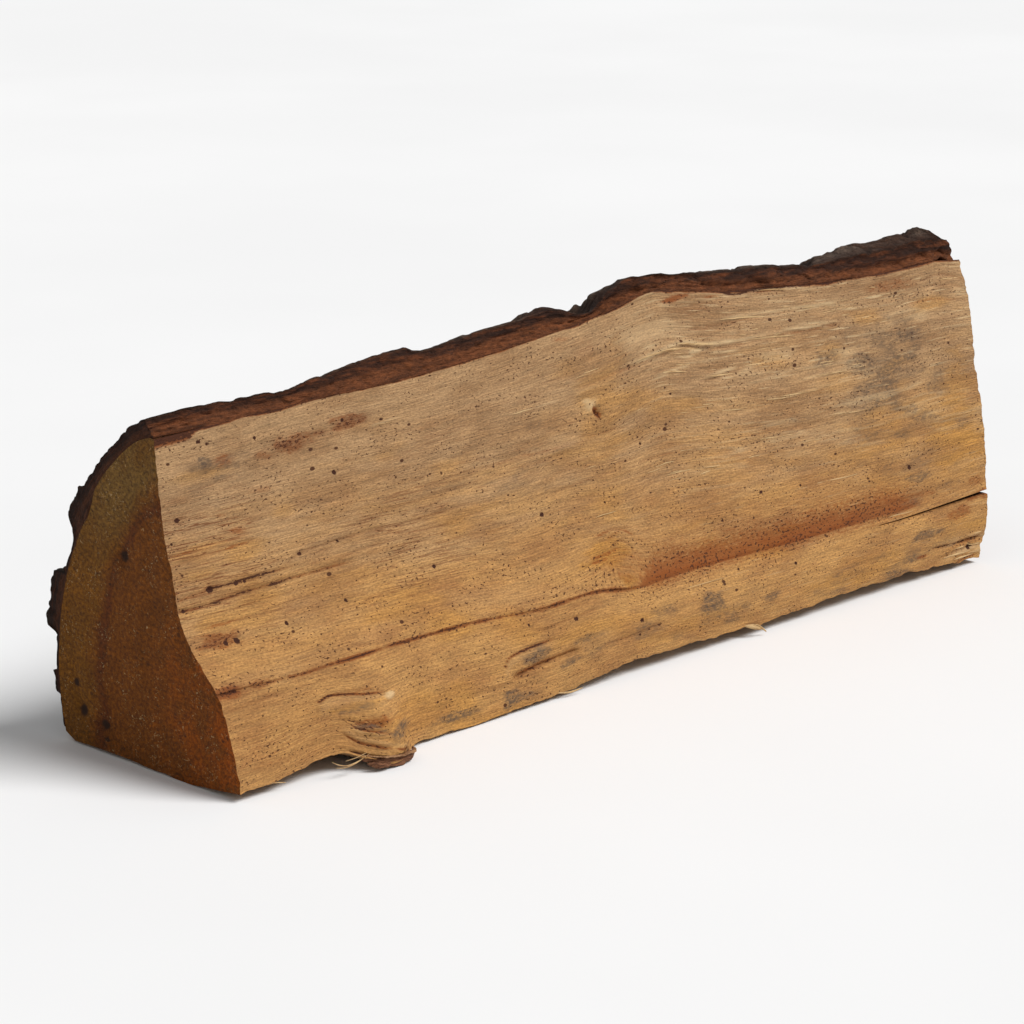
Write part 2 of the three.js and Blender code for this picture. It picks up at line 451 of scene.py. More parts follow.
def spot(x: float, z: float, radius: float, sink: float = 0.5) -> Blob:
    """A small hole, such as a beetle's, sunk a little and painted dark as its shade."""
    return Blob(Stain.SPOT, x, z, 0.75 * radius, 0.75 * radius, 1.0, sink)


# Spots: x, z and radius, and how deep where it isn't the usual depth.
SPOTS = tuple(spot(*row) for row in (
    (-150, 93, 0.8), (-147, 92, 0.7), (-131, 91, 0.7), (-105, 77, 0.9), (-160, 73, 1), (-163, 67, 0.6),
    (-107, 58, 0.6), (-121, 57, 0.8), (-153, 53, 1.3, 1), (-144, 53, 0.9), (-141, 53, 0.7), (-163, 49, 0.8),
    (-109, 42, 0.7), (-131, 40, 0.8), (-149, 39, 1.1, 0.9), (-153, 39, 0.9), (-86, 89, 0.7), (-100, 91, 0.8),
    (26, 79, 0.7), (-31, 52, 0.9), (-75, 45, 0.8), (-4, 12, 0.7), (-29, 22, 0.9, 0.8), (-2, 16, 0.9, 0.8),
    (158, 7, 1.4, 1.5), (-48, 24, 0.6), (70, 19, 0.7), (12, 66, 0.6), (-88, 83, 0.5), (129, 39, 0.9),
    (41.5, 37.3, 0.7), (55.6, 35.7, 0.6), (38.3, 41.1, 0.5), (13.3, 50.9, 0.6), (-5.7, 51.2, 0.5),
    (-1.5, 52.2, 0.5), (-18.5, 48.9, 0.6), (45.1, 21.7, 0.6), (15.5, 30.9, 0.6), (-94, 65, 0.5),
    (-60, 88, 0.6), (60, 43, 0.8), (78, 42, 0.6), (86, 60, 0.6),
))

# Stains: x, z, half length, half height and strength, and how deep the place is sunk.
STAINS = tuple(Blob(kind, *row) for kind, rows in {
    Stain.MOULD: (
        (-149, 86.5, 4, 2.6, 0.9), (-151, 80, 6, 5, 0.35), (-143, 91.5, 4, 2, 0.3), (133, 82, 9, 3.4, 0.8),
        (122, 82, 8, 3.0, 0.6), (110, 76, 9, 4.0, 0.75), (97, 79, 9, 3.4, 0.7), (114, 67, 11, 3.0, 0.7),
        (136, 70, 10, 3.0, 0.55), (139, 54, 8, 3.2, 0.65), (80, 62, 8, 2.0, 0.5), (157, 49, 5, 2.4, 0.55),
        (127, 50, 8, 2.6, 0.55), (134, 35, 7, 2.2, 0.7), (129, 28, 8, 2.0, 0.55), (148, 30, 9, 2.0, 0.5),
        (134, 16, 10, 2.4, 0.8), (128, 9, 8, 2.4, 0.75), (118, 5.6, 8, 1.8, 0.8), (57, 11.5, 5, 2.0, 0.75),
        (91, 6.4, 7, 1.8, 0.75), (80, 7.5, 5, 1.5, 0.5), (29, 14.5, 8, 3.4, 0.95), (37, 7.5, 5, 1.8, 0.65),
        (-1, 14, 6, 1.8, 0.6), (9, 16.5, 7, 2.0, 0.6), (-46, 15.4, 8, 3.0, 1.0), (-34, 11.0, 7, 2.2, 0.8),
        (-24, 15.5, 8, 1.6, 0.6), (-58, 4.4, 9, 2.4, 1.0), (-80, 5, 13, 1.8, 0.9), (-108.5, 7.9, 7, 3.0, 1.0),
        (-95, 92, 6, 3, 0.25), (-123, 16.4, 9, 1.2, 0.7), (-121, 11.6, 6, 1.1, 0.9), (-30, 79, 6, 2.6, 0.4),
        (-42, 60, 20, 2.4, 0.3), (-62, 66, 22, 3.0, 0.32), (-116, 9.6, 5, 0.9, 0.9, 0.3),
        (30, 14.6, 7, 3.0, 0.9),
    ),
    Stain.RUST_AND_SHADE: (
        (-142, 86.5, 5, 2.8, 0.62), (-128, 85.6, 6, 2.2, 0.5), (-119, 87.6, 10, 2.8, 0.6),
        (-110, 88.6, 8, 2.0, 0.5), (-99, 90.4, 8, 3.2, 0.62), (-141, 67, 4, 1.4, 0.55),
        (-131, 77, 5, 1.6, 0.4), (-144, 72, 3, 1.0, 0.5), (-5, 97, 6, 5, 0.30), (-16, 102, 6, 1.6, 0.5),
        (30, 107.4, 7, 1.7, 0.9), (46, 105.6, 5, 1.4, 0.6), (-155, 40, 9, 2.2, 0.62), (-4, 29, 6, 4, 0.45),
        (-140, 14, 34, 12, 0.3), (128, 29.5, 18, 2.2, 0.5), (163, 24.0, 4, 2.6, 0.7),
        (152, 20.5, 9, 2.4, 0.55), (-8, 33, 9, 3.0, 0.35), (158, 23.4, 7, 1.8, 0.7), (161, 29.6, 5, 2.2, 0.5),
        # (-117, 12.6): painted shadow under the stub's upper torn layer, in the red-brown stain colour, on a
        # slightly sunk patch.
        (-117, 12.6, 9, 1.9, 0.6, 0.4), (45, 103, 22, 2.0, 0.3), (128, 98.5, 16, 2.2, 0.5),
        (132, 8.4, 3, 0.9, 0.9),
    ),
    Stain.DARK: (
        (-99, 90.2, 8, 2.4, 0.46), (-119, 87.4, 9, 2.0, 0.46), (-110, 88.8, 6, 1.4, 0.42),
        (-148, 85.6, 3, 1.4, 0.4), (-155, 40, 8, 1.6, 0.43), (129, 39, 4, 1.6, 0.5),
    ),
    Stain.OCHRE: (
        (-3, 28, 6, 3.0, 0.8), (-8, 36, 10, 5.0, 0.9), (-120, 17.2, 13, 1.5, 0.6), (150, 44, 16, 10, 0.7),
        (156, 62, 9, 12, 0.5), (100, 11, 30, 5, 0.4), (-92, 9, 16, 5, 0.55), (20, 10, 26, 4, 0.4),
    ),
    Stain.PALE: (
        (-108.2, 17.7, 2.4, 1.1, 0.8, -0.5), (-8, 81.5, 2.6, 2.6, 0.6), (39, 90.6, 7, 0.9, 0.8, -0.3),
        (78, 52, 12, 1.6, 0.2), (20, 99, 16, 6, 0.30), (94, 57, 14, 2.2, 0.15),
    ),
}.items() for row in rows)

# Grooves: path, width, depth and strength, and how far each end fades. A ridge has a depth below 0.
GROOVES = tuple(Groove(kind, Line(path), *row) for kind, rows in {
    Stain.DARK: (
        (((-166, 51.6), (-153, 53), (-144, 53.4), (-126, 54)), 0.7, 0.45, 0.75),
        (((-166, 48.6), (-154, 49.2), (-140, 50.2), (-117, 51.2), (-104, 51.6)), 0.8, 0.55, 0.8),
        (((-132, 52.6), (-121, 57), (-107, 58.4), (-84, 58.6), (-58, 60)), 0.55, 0.35, 0.5),
        (((-118, 48), (-107, 53), (-95, 54.6), (-84, 55.4), (-60, 56)), 0.5, 0.35, 0.5),
        (((-166, 45.4), (-142, 46.8), (-120, 47.6)), 0.5, 0.2, 0.35),
        (((-92, 63), (-56, 65.4), (-20, 68.4)), 0.6, 0.2, 0.28, 20),
        (((40, 80.6), (56, 81.6)), 0.6, 0.4, 0.35, 5),
        (((52, 106.2), (57, 105.0), (64, 105.2)), 0.7, 0.7, 0.9, 4),
        (((110, 28.4), (130, 29.6), (150, 31.0), (165, 32.6)), 0.7, 0.5, 0.30),
        (((-166, 24.2), (-148, 25.2), (-140, 26.2)), 0.9, 0.4, 0.5),
        (((-160, 14.6), (-130, 16.0)), 0.6, 0.25, 0.25),
        (((-162, 19.8), (-144, 20.4)), 0.6, 0.25, 0.25),
        (((-76, 9.2), (-40, 10.6), (-32, 11.2)), 0.5, 0.4, 0.35),
        (((-57, 10.4), (-46, 11.8), (-30, 13.2)), 0.5, 1.2, 0.6, 3),
        (((-44, 21.4), (-30, 22.6), (-20, 23.2)), 0.5, 0.5, 0.5, 5),
        (((-20, 12.0), (-6, 12.8), (6, 13.8)), 0.45, 0.5, 0.5, 4),
        (((138, 10.0), (152, 9.6), (166, 9.4)), 0.7, 1.1, 0.8, 8),
        (((142, 6.0), (154, 6.8), (166, 6.4)), 0.6, 0.9, 0.6, 8),
        (((142, 97.4), (154, 98.4), (166, 95.2)), 0.5, 0.6, 0.55, 6),
        (((146, 95.6), (158, 94.6), (166, 91.8)), 0.5, 0.6, 0.5, 6),
        (((112, 24.4), (122, 25.6), (131, 27.0)), 0.6, 0.6, 0.25, 6),
        (((-7.0, 38.4), (-3, 39.2), (0, 38.0), (2.1, 35.5), (3.6, 32.6)), 0.65, 0.5, 0.7, 2),
        (((84, 41.0), (100, 42.6), (122, 43.6)), 0.4, 0.3, 0.4, 8),
        (((-127.4, 14.6), (-124.1, 14.1), (-121, 12.8)), 0.45, 0.4, 0.6, 2),
        # The slit above the flap: carved in, and painted dark as the shade inside it, with the red-brown halo
        # that dark grooves get.
        (((-126, 5.6), (-122.5, 4.4), (-120, 3.8), (-115, 2.6), (-111.5, 2.5), (-104, 1.9)), 0.6, 1.4, 0.95,
         2),
    ),
    Stain.RUST_AND_SHADE: (
        (((-166, 63.6), (-153, 64.2), (-138, 65.4)), 0.6, 0.25, 0.8),
        (((-163, 61.4), (-136, 63.2)), 0.6, 0.25, 0.7),
        (((-158, 43.4), (-139, 44)), 0.5, 0.2, 0.7),
        (((-60, 69), (-30, 70), (6, 72)), 0.6, 0.2, 0.45, 20),
        (((-28, 57), (0, 60), (30, 61.6)), 0.6, 0.25, 0.45, 14),
        (((-10, 86.2), (14, 90), (24, 91.4), (33, 92.6), (41, 90.8), (52, 89.6), (76, 89.8), (104, 89.0)),
         0.75, 0.6, 0.55),
        (((36, 97.0), (60, 96.6), (82, 96.2)), 0.6, 0.4, 0.5),
        (((-62, 50), (-20, 52.4)), 0.45, 0.2, 0.35, 14),
        (((-58, 10.8), (-48, 12.0), (-31, 13.4)), 1.3, 1.5, 0.75, 3),
        (((136, 91.4), (150, 91.0), (166, 88.0)), 0.6, 0.4, 0.5, 6),
        (((-12, 42.0), (-4, 43.0), (3, 40.0), (6.4, 35.6)), 0.65, 0.3, 0.8, 3),
        (((-16, 36.4), (-9.6, 36.8), (-4, 37.4)), 0.8, 0.35, 0.95, 4),
        (((-17, 35.0), (-8, 35.4)), 0.7, 0.3, 0.9, 4),
        (((-21, 32.0), (-14.4, 33.1), (-9, 34.0)), 0.8, 0.3, 0.9, 4),
        (((-8, 40.0), (-0.4, 42.4), (8, 41.6)), 0.7, 0.25, 0.7, 5),
        (((-9, 30.8), (-4, 31.6), (2, 30.4)), 0.8, 0.3, 0.9, 4),
        (((-128.8, 5.7), (-125, 5.4)), 0.5, 0.5, 0.9, 2),
        (((-123, 21.8), (-118.8, 21.2), (-114, 21.3)), 0.4, 0.3, 0.8, 3),
    ),
    Stain.PALE: (
        (((12, 90.6), (22, 92.2), (33, 93.8), (41, 92.0), (56, 90.8)), 0.8, -0.7, 0.95),
        (((56, 90.9), (76, 90.8), (98, 90.2)), 0.5, -0.4, 0.8),
        (((49, 98.4), (72, 97.6), (102, 96.4)), 0.6, -0.4, 0.75),
        (((21, 85.6), (34, 86.4)), 0.5, -0.4, 0.9, 4),
        (((42, 82), (55, 82.8)), 0.6, -0.5, 0.95, 4),
        (((64, 105.2), (74, 105.0), (88, 103.0)), 0.5, -0.5, 0.7, 5),
        (((60, 77), (82, 78), (110, 77)), 0.5, -0.3, 0.45),
        (((84, 74.6), (112, 75.0)), 0.45, -0.3, 0.5),
        (((70, 70.2), (104, 71.4)), 0.45, -0.3, 0.5),
        (((-38, 82.6), (-20, 84.0)), 0.4, -0.25, 0.5, 6),
        (((-90, 87.6), (-80, 88.4)), 0.4, -0.25, 0.6, 4),
    ),
}.items() for path, *row in rows)

# Torn layers by the knot stub and the seam. Each carries a line of painted shadow along its sharp edge, and its
# proud layer is painted a little paler as light.
LEDGES = (
    Ledge(Line(((-132.7, 18.2), (-132.1, 19.7), (-130.5, 20.4), (-128.5, 21.0), (-118, 19.8), (-106, 18.2))),
          5.0, 0.9),
    Ledge(Line(((-124.8, 12.6), (-123.2, 11.2), (-120.5, 10.1), (-112.5, 8.3))), 1.8, 0.8),
    Ledge(Line(((-126.8, 11.0), (-125.3, 9.7), (-123.4, 8.5), (-117.6, 6.6), (-112, 5.4))), 2.0, 1.0, False),
    Ledge(Line(((-114, 5.6), (-110.7, 4.3), (-106, 3.4))), 1.4, 0.6, False),
    Ledge(Line(((-61, 13.4), (-59, 15.8), (-56, 16.8), (-46, 17.6), (-36, 18.0))), 3.0, 0.5),
)


# ---- The wood --------------------------------------------------------------------------------------------


@dataclass
class Relief:
    """What the surface does at each point: how far it stands out, and how strong each stain is."""

    height: Array
    masks: dict[str, Array]

    def stain(self, kind: Stain, mask: Array) -> None:
        """Add a stain where it isn't already stronger."""
        self.masks[kind.value] = np.maximum(self.masks[kind.value], mask)


@dataclass(frozen=True)
class MeshData:
    """A closed mesh before Blender has it: points, faces of each material, and values for each point."""

    points: Array
    faces: list[tuple[Array, int]]
    values: dict[str, Array] = field(default_factory=dict)
    vectors: dict[str, Array] = field(default_factory=dict)


def ring_faces(stations: int, around: int) -> Array:
    """The four-sided faces between neighbouring closed rings of points, numbered ring by ring.

    Args:
        stations: how many rings.
        around: how many points go round.

    Returns:
        The faces, of shape (n, 4).
    """
    i, j = np.meshgrid(np.arange(stations - 1), np.arange(around), indexing="ij")
    a = i * around + j
    b = i * around + (j + 1) % around
    return np.stack([a, b, b + around, a + around], axis=-1).reshape(-1, 4)


def make_object(name: str, data: MeshData, materials: Sequence[Material], trunk: Trunk,
                sharp: float = 60.0) -> Object:
    """A mesh object in the frame's own place, with smooth shading broken at sharp edges.

    Args:
        name: the object's name.
        data: the mesh, in the trunk's millimetres.
        materials: one for each material number in the data.
        trunk: what places it in the frame.
        sharp: edges that turn more than this many degrees stay sharp.

    Returns:
        The new object, linked to the scene.
    """
    mesh = bpy.data.meshes.new(name)
    points = trunk.place(data.points)
    mesh.vertices.add(len(points))
    mesh.vertices.foreach_set("co", points.ravel())
    corners = np.concatenate([faces.ravel() for faces, _ in data.faces])
    sizes = np.concatenate([np.full(len(faces), faces.shape[1]) for faces, _ in data.faces])
    numbers = np.concatenate([np.full(len(faces), number) for faces, number in data.faces])
    mesh.loops.add(len(corners))
    mesh.loops.foreach_set("vertex_index", corners)
    mesh.polygons.add(len(sizes))
    mesh.polygons.foreach_set("loop_start", np.concatenate([[0], np.cumsum(sizes)[:-1]]))
    mesh.polygons.foreach_set("material_index", numbers)
    mesh.polygons.foreach_set("use_smooth", np.ones(len(sizes), dtype=bool))
    for key, values in data.values.items():
        mesh.attributes.new(key, "FLOAT", "POINT").data.foreach_set("value", values.ravel())
    for key, vectors in data.vectors.items():
        mesh.attributes.new(key, "FLOAT_VECTOR", "POINT").data.foreach_set("vector", vectors.ravel())
    for material in materials:
        mesh.materials.append(material)
    mesh.update(calc_edges=True)
    mesh.validate()
    mesh.set_sharp_from_angle(angle=math.radians(sharp))
    piece = bpy.data.objects.new(name, mesh)
    bpy.context.scene.collection.objects.link(piece)
    log.info("%s: %d points, %d faces", name, len(points), len(sizes))
    return piece


def cap_rings(loop: Array, centre: Array, rings: int, first: int, flip: bool) -> tuple[Array, Array, Array]:
    """Fill one closed loop with rings that shrink to a centre point.

    Each inner point is the loop's point moved a share of the way to the centre.

    Args:
        loop: the loop's points, of shape (n, 3).
        centre: the point that the rings shrink to.
        rings: how many rings stand between the loop and the centre.
        first: the number that the first new point will have.
        flip: whether the faces look along -X.

    Returns:
        The new points, the four-sided faces, whose points below zero count from the loop, and the fan of
        three-sided faces at the centre. Points of the loop are numbered from -n to -1.
    """
    count = len(loop)
    shares = (np.arange(1, rings + 1) / (rings + 1))[:, None, None] ** 1.15
    inner = mix(loop[None], centre[None, None], shares).reshape(-1, 3)
    names = np.concatenate([np.arange(-count, 0), first + np.arange(rings * count)]).reshape(rings + 1, count)
    nxt = np.roll(names, -1, axis=1)
    quads = np.stack([names[:-1], nxt[:-1], nxt[1:], names[1:]], axis=-1).reshape(-1, 4)
    hub = first + rings * count
    fan = np.stack([names[-1], nxt[-1], np.full(count, hub)], axis=-1)
    points = np.concatenate([inner, centre[None]])
    if flip:
        quads, fan = quads[:, ::-1], fan[:, ::-1]
    return points, quads, fan


@dataclass
class SplitWood:
    """The wedge of wood: its split face, its lower face, its back under the bark and its two sawn ends."""

    trunk: Trunk
    stations: int = 320
    lower_columns: int = 60
    upper_columns: int = 164
    seat_columns: int = 18
    back_columns: int = 24
    left_rings: int = 24
    right_rings: int = 8
    crack_tip_x: float = 110.0
    crack_offset: float = 0.24
    crack_gape: float = 0.6
    crack_depth: float = 13.0

    def crease(self, x: Array) -> tuple[Array, Array]:
        """Half the width and the depth of the crease, which opens into the drying crack near the +X end.

        Args:
            x: places along the grain.

        Returns:
            Half the width and the depth, in millimetres.
        """
        opening = between(x, self.crack_tip_x, self.trunk.half_length)
        wander = 0.5 + 0.5 * Field(71).fractal(x / 12, x * 0 + 0.5, 3)
        closed = 0.05 + 0.25 * wander + 0.35 * smooth_step(-x, 138, 154) + 0.3 * bell(x, -42, 10)
        depth = (1 - smooth_step(x, 60, 104)) * (closed + 0.6 * bell(x, -8, 5))
        depth += self.crack_depth * opening**0.8
        half = np.where(x > 104.0, 0.12 + (self.crack_gape / 2 - 0.12) * opening**1.2, 0.30)
        return half, depth

    def columns(self, x: Array) -> tuple[Array, Array]:
        """Where the columns of the face lie, in rows from the toe, and how deep each is cut by the crease.

        Args:
            x: places along the grain.

        Returns:
            Two arrays of shape (places, columns).
        """
        half, depth = self.crease(x)
        row_height = (SEAM.at(x) - TOE.at(x)) * (1 - LOWER_SHARE)
        middle = SEAM_ROW - self.crack_offset * smooth_step(x, 92, 109)
        across = np.array([-2.4, -1.05, -0.85, -0.45, 0.0, 0.45, 0.85, 1.05, 2.4])
        cut = np.array([0.0, 0.12, 0.55, 0.9, 1.0, 0.9, 0.55, 0.12, 0.0])
        crack_t = middle[:, None] + across[None] * (half / row_height)[:, None]
        low = np.linspace(0.0, 1.0, self.lower_columns)[None, :-1] * crack_t[:, :1]
        rise = np.linspace(0.0, 1.0, self.upper_columns)[1:]
        top_row = len(FACE_LEFT_Y) - 1
        spread = np.interp(rise, [0.0, 0.195, 0.46, 0.75, 1.0], np.arange(SEAM_ROW, top_row + 1))
        lift = (spread - SEAM_ROW) / (top_row - SEAM_ROW)
        high = mix(crack_t[:, -1:], float(top_row), lift[None])
        carve = np.zeros((len(x), low.shape[1] + len(across) + high.shape[1]))
        start = low.shape[1]
        carve[:, start:start + len(across)] = cut[None] * depth[:, None]
        return np.concatenate([low, crack_t, high], axis=1), carve

    def grain(self, x: Array, z: Array) -> Array:
        """Which fibre passes through each point, in millimetres across the grain.

        The share of the way from seam to crest, or from toe to seam, is turned back into millimetres, so fibres
        follow the face's own lines. They bow round the dent and round the knot that is buried near the seam.

        Args:
            x: places along the grain.
            z: heights above the floor.

        Returns:
            Millimetres up from the seam.
        """
        toe, seam, crest = TOE.at(x), SEAM.at(x), CREST.at(x)
        above = (z - seam) / (crest - seam) * 76.0
        below = (z - seam) / (seam - toe) * 24.0
        fibre = np.where(z > seam, above, below)
        swirl = bell(x, -4, 13) * bell(z, 35, 7.5)
        dent = bell(x, -5, 7) * (bell(z, 81.5, 4) - bell(z, 74, 4))
        drift = 1.3 * Field(23).fractal(x / 90, z / 30, 2)
        return fibre - 3.6 * swirl - 1.0 * dent + drift

    def relief(self, x: Array, z: Array) -> Relief:
        """How the split face stands out from its smooth shape, and its stains.

        The height is a sum of: broad waves, fibre ridges that are long along the grain and fine across it, low
        terraces where a random field crosses set levels, the rings of the buried knot, and the marks.

        Args:
            x: places along the grain, of shape (n, 1) or (n, m).
            z: heights above the floor, of shape (n, m).

        Returns:
            The relief, with every stain's mask from 0 to 1.
        """
        x = np.broadcast_to(x, z.shape)
        fibre = self.grain(x, z)
        torn = smooth_step(x + 0.6 * (z - 60), -40, 70) * smooth_step(z, 30, 60)
        height = 0.42 * Field(1).fractal(x / 70, fibre / 17, 2)
        height += 0.20 * Field(2).fractal(x / 46, fibre / 4.4, 3)
        height += (0.10 + 0.08 * torn) * Field(3).fractal(x / 22, fibre / 1.9, 2)
        terrace = np.tanh(9 * Field(4).fractal(x / 50, fibre / 5.5, 2))
        height += (0.05 + 0.15 * torn) * terrace
        left = smooth_step(-x, 40, 110) * smooth_step(z, 32, 44) * (1 - smooth_step(z, 68, 84))
        raised = Field(7).creases(x / 40, fibre / 2, 10)
        raised = raised * smooth_step(Field(8).fractal(x / 22, fibre / 6, 2) + 0.35 * torn, 0.15, 0.5)
        height += 0.20 * raised
        masks = {kind.value: np.zeros(z.shape) for kind in Stain}
        out = Relief(height, masks)
        checked = smooth_step(Field(6).fractal(x / 38, fibre / 8, 3), -0.15, 0.4)
        out.stain(Stain.LINED, 0.24 * checked + 0.46 * left * (0.4 + 0.6 * checked))
        out.stain(Stain.PALE, 0.35 * raised * torn)
        out.stain(Stain.OCHRE, 0.5 * smooth_step(Field(9).fractal(x / 30, fibre / 9, 3), 0.1, 0.6))
        self.bloom(out, x, z, fibre)
        self.knots(out, x, z)
        self.seam(out, x, z)
        self.marks(out, x, z, fibre)
        self.torn_end(out, x, z)
        return out

    def knots(self, out: Relief, x: Array, z: Array) -> None:
        """The buried knot is a low swelling with curved folds; the dent is a small pit with a lip: the pit is
        painted dark, a dark mark deepened by painted shade, and the lip pale as a painted highlight.

        Args:
            out: the relief to add to.
            x: places along the grain.
            z: heights above the floor.
        """
        swell = bell(x, -4, 11) * bell(z, 33, 6)
        folds = Field(31).creases(np.hypot((x + 4) / 6, (z - 31) / 3.4) * 2, x * 0 + z / 30, 7)
        out.height += 0.8 * swell - 0.22 * folds * swell
        out.stain(Stain.RUST_AND_SHADE, 0.5 * folds * smooth_step(swell, 0.2, 0.6))
        pit = bell(x + 0.5 * (z - 78), -4.6, 1) * bell(z, 78.2, 1.9)
        lip = bell(x - 0.6 * (z - 80), -7.4, 1.6) * bell(z, 80.6, 1.6)
        out.height += 0.25 * bell(x, -5, 9) * bell(z, 78, 6) - 1.6 * pit + 0.5 * lip
        # Painted highlight: the pale lip. Painted shade: the red-brown and dark in the pit, over a dark mark.
        out.stain(Stain.PALE, 0.8 * lip)
        out.stain(Stain.RUST_AND_SHADE, smooth_step(pit, 0.12, 0.5))
        out.stain(Stain.DARK, 0.85 * smooth_step(pit, 0.4, 0.85))

    def seam(self, out: Relief, x: Array, z: Array) -> None:
        """The seam's thin dark line, the red-brown band above it and the bulge of the strip below it. The line
        and the band are partly stain and partly painted shade of the shallow crease and of the hollow above it.

        Args:
            out: the relief to add to.
            x: places along the grain.
            z: heights above the floor.
        """
        rise = z - SEAM.at(x)
        wander = Field(32).fractal(x / 5, x * 0, 3)
        line = (1 - smooth_step(x, 100, 110)) * (0.70 + 0.42 * wander)
        line = line * (1 - 0.45 * smooth_step(x, 0, 30))
        thick = 0.42 + 0.75 * smooth_step(-x, 142, 152)
        thick = thick + 0.30 * bell(x, -42, 9) + 0.3 * bell(x, -9, 5)
        # The dark line and its red-brown edge are partly stain and partly painted shade of the crease.
        out.stain(Stain.DARK, 0.72 * line * bell(rise, 0, 0.8 * thick))
        out.stain(Stain.RUST_AND_SHADE, line * bell(rise, 0, 1.7 * thick))
        dots = smooth_step(Field(33).fractal(x / 2.6, z / 1.2, 2), 0, 0.35) * bell(rise, 0.5, 0.9)
        out.stain(Stain.DARK, 0.55 * dots * smooth_step(x, 20, 50) * (1 - smooth_step(x, 104, 114)))
        core = RUST_HEIGHT.at(x) * (1 + 0.35 * Field(34).fractal(x / 9, x * 0, 3))
        inside = 1 - smooth_step(rise - 0.55 * core, 0, 0.6 * np.maximum(core, 0.2))
        inside = inside * smooth_step(rise, -0.5, 0.1)
        # This band, fading upwards from the seam, is partly red-brown stain and partly painted shade of the
        # hollow above the seam.
        reddening = np.maximum(smooth_step(rise, -0.9, 0.2), 0.5 * smooth_step(rise, -6, 0))
        reddening = reddening * np.exp(-np.maximum(rise, 0.0) / 9.0)
        spread = 0.34 + 0.96 * smooth_step(x, -6, 12) * (1 - smooth_step(x, 118, 140))
        fleck = 0.85 + 0.15 * Field(35).fractal(x / 5, z / 1.6, 3)
        out.stain(Stain.RUST_AND_SHADE, np.maximum(0.92 * inside * (core > 0.3), spread * reddening) * fleck)
        out.height += 0.5 * bell(rise, -5, 4.5) * smooth_step(x, -40, 40)

    def bloom(self, out: Relief, x: Array, z: Array, fibre: Array) -> None:
        """Grey mould in streaky clouds: over the far half, along the strip below the seam and by the near top.

        Args:
            out: the relief to add to.
            x: places along the grain.
            z: heights above the floor.
            fibre: which fibre passes through each point.
        """
        far = 0.9 * bell(x, 126, 34) * bell(z, 64, 34)
        low = 0.62 * bell(z, 10, 8) * smooth_step(x, -70, -20)
        near = 0.75 * bell(x, -148, 17) * bell(z, 84, 11)
        grey = 0.5 * bell(x, -38, 42) * bell(z, 66, 14)
        region = np.maximum(np.maximum(far, low), np.maximum(near, grey))
        cloud = Field(45).fractal(x / 15, fibre / 5, 3) + 0.5 * Field(46).fractal(x / 6, fibre / 2.4, 2)
        out.stain(Stain.MOULD, 0.85 * region * smooth_step(cloud + 0.7 * region, 0.15, 0.85))

    def marks(self, out: Relief, x: Array, z: Array, fibre: Array) -> None:
        """The listed spots, stains, grooves and tongues. Stains break up along the fibres.

        Args:
            out: the relief to add to.
            x: places along the grain.
            z: heights above the floor.
            fibre: which fibre passes through each point.
        """
        wobble_x = 2.2 * Field(41).fractal(x / 8, z / 3, 3)
        wobble_z = 0.9 * Field(42).fractal(x / 9, z / 2.5, 3)
        streaks = Field(43).fractal(x / 10, fibre / 2.2, 3, 0.7)
        crumbs = Field(44).fractal(x / 3.4, z / 2, 2, 0.7)
        for blob in STAINS:
            near = bell(x + wobble_x, blob.x, blob.long) * bell(z + wobble_z, blob.z, blob.tall)
            broken = smooth_step(near + 0.42 * streaks + 0.22 * crumbs, 0.28, 0.86)
            out.stain(blob.stain, blob.strength * broken * smooth_step(near, 0.02, 0.2))
            out.height -= blob.sink * near
        for blob in SPOTS:
            away = np.hypot((x - blob.x) / (1.2 * blob.long), (z - blob.z) / blob.tall)
            out.stain(blob.stain, 1.0 - away / 3.0)
            out.height -= blob.sink * np.exp(-(away**2))
        for groove in GROOVES:
            mask = groove.mask(x, z + 0.35 * wobble_z)
            out.height -= 0.75 * groove.depth * mask
            out.stain(groove.stain, groove.strength * mask * np.clip(0.75 + 0.9 * streaks, 0.1, 1.0))
            if groove.stain is Stain.DARK:
                out.stain(Stain.RUST_AND_SHADE, 0.8 * groove.strength * np.sqrt(mask) * mask)
        for ledge in LEDGES:
            proud, rim = ledge.shape(x + 0.15 * wobble_x, z + 0.3 * wobble_z)
            out.height += 0.55 * ledge.height * proud - 0.35 * rim
            # Painted shadow: the rim just outside each ledge's edge takes the red-brown and dark stain colours.
            # Painted light: the proud layer is a little paler.
            out.stain(Stain.RUST_AND_SHADE, rim)
            out.stain(Stain.DARK, 0.8 * rim * np.clip(0.75 + streaks, 0.0, 1.0))
            out.stain(Stain.PALE, 0.12 * proud)
        self.stub(out, x, z)
        self.shore(out, x, CREST.at(x) - z + 0.5 * wobble_z, streaks)

    def stub(self, out: Relief, x: Array, z: Array) -> None:
        """The knot stub's torn layers and fibres, which slope with it, and rusted patches where they are low.

        Args:
            out: the relief to add to.
            x: places along the grain.
            z: heights above the floor.
        """
        knot = bell(x, KNOT_X + 1, 12) * (1 - smooth_step(z, 10, 17))
        out.height += 0.5 * knot * Field(47).fractal(x / 6, (z + 0.3 * x) / 1.8, 3)
        out.height += 0.35 * knot * Field(50).fractal(x / 8, (z + 0.25 * x) / 0.9, 2)
        out.height += 0.55 * knot * np.tanh(7 * Field(49).fractal(x / 10, (z + 0.25 * x) / 3.2, 3))
        low = -Field(48).fractal(x / 6, (z + 0.3 * x) / 2, 3)
        out.stain(Stain.RUST_AND_SHADE, 0.55 * knot * smooth_step(low, 0.05, 0.5))

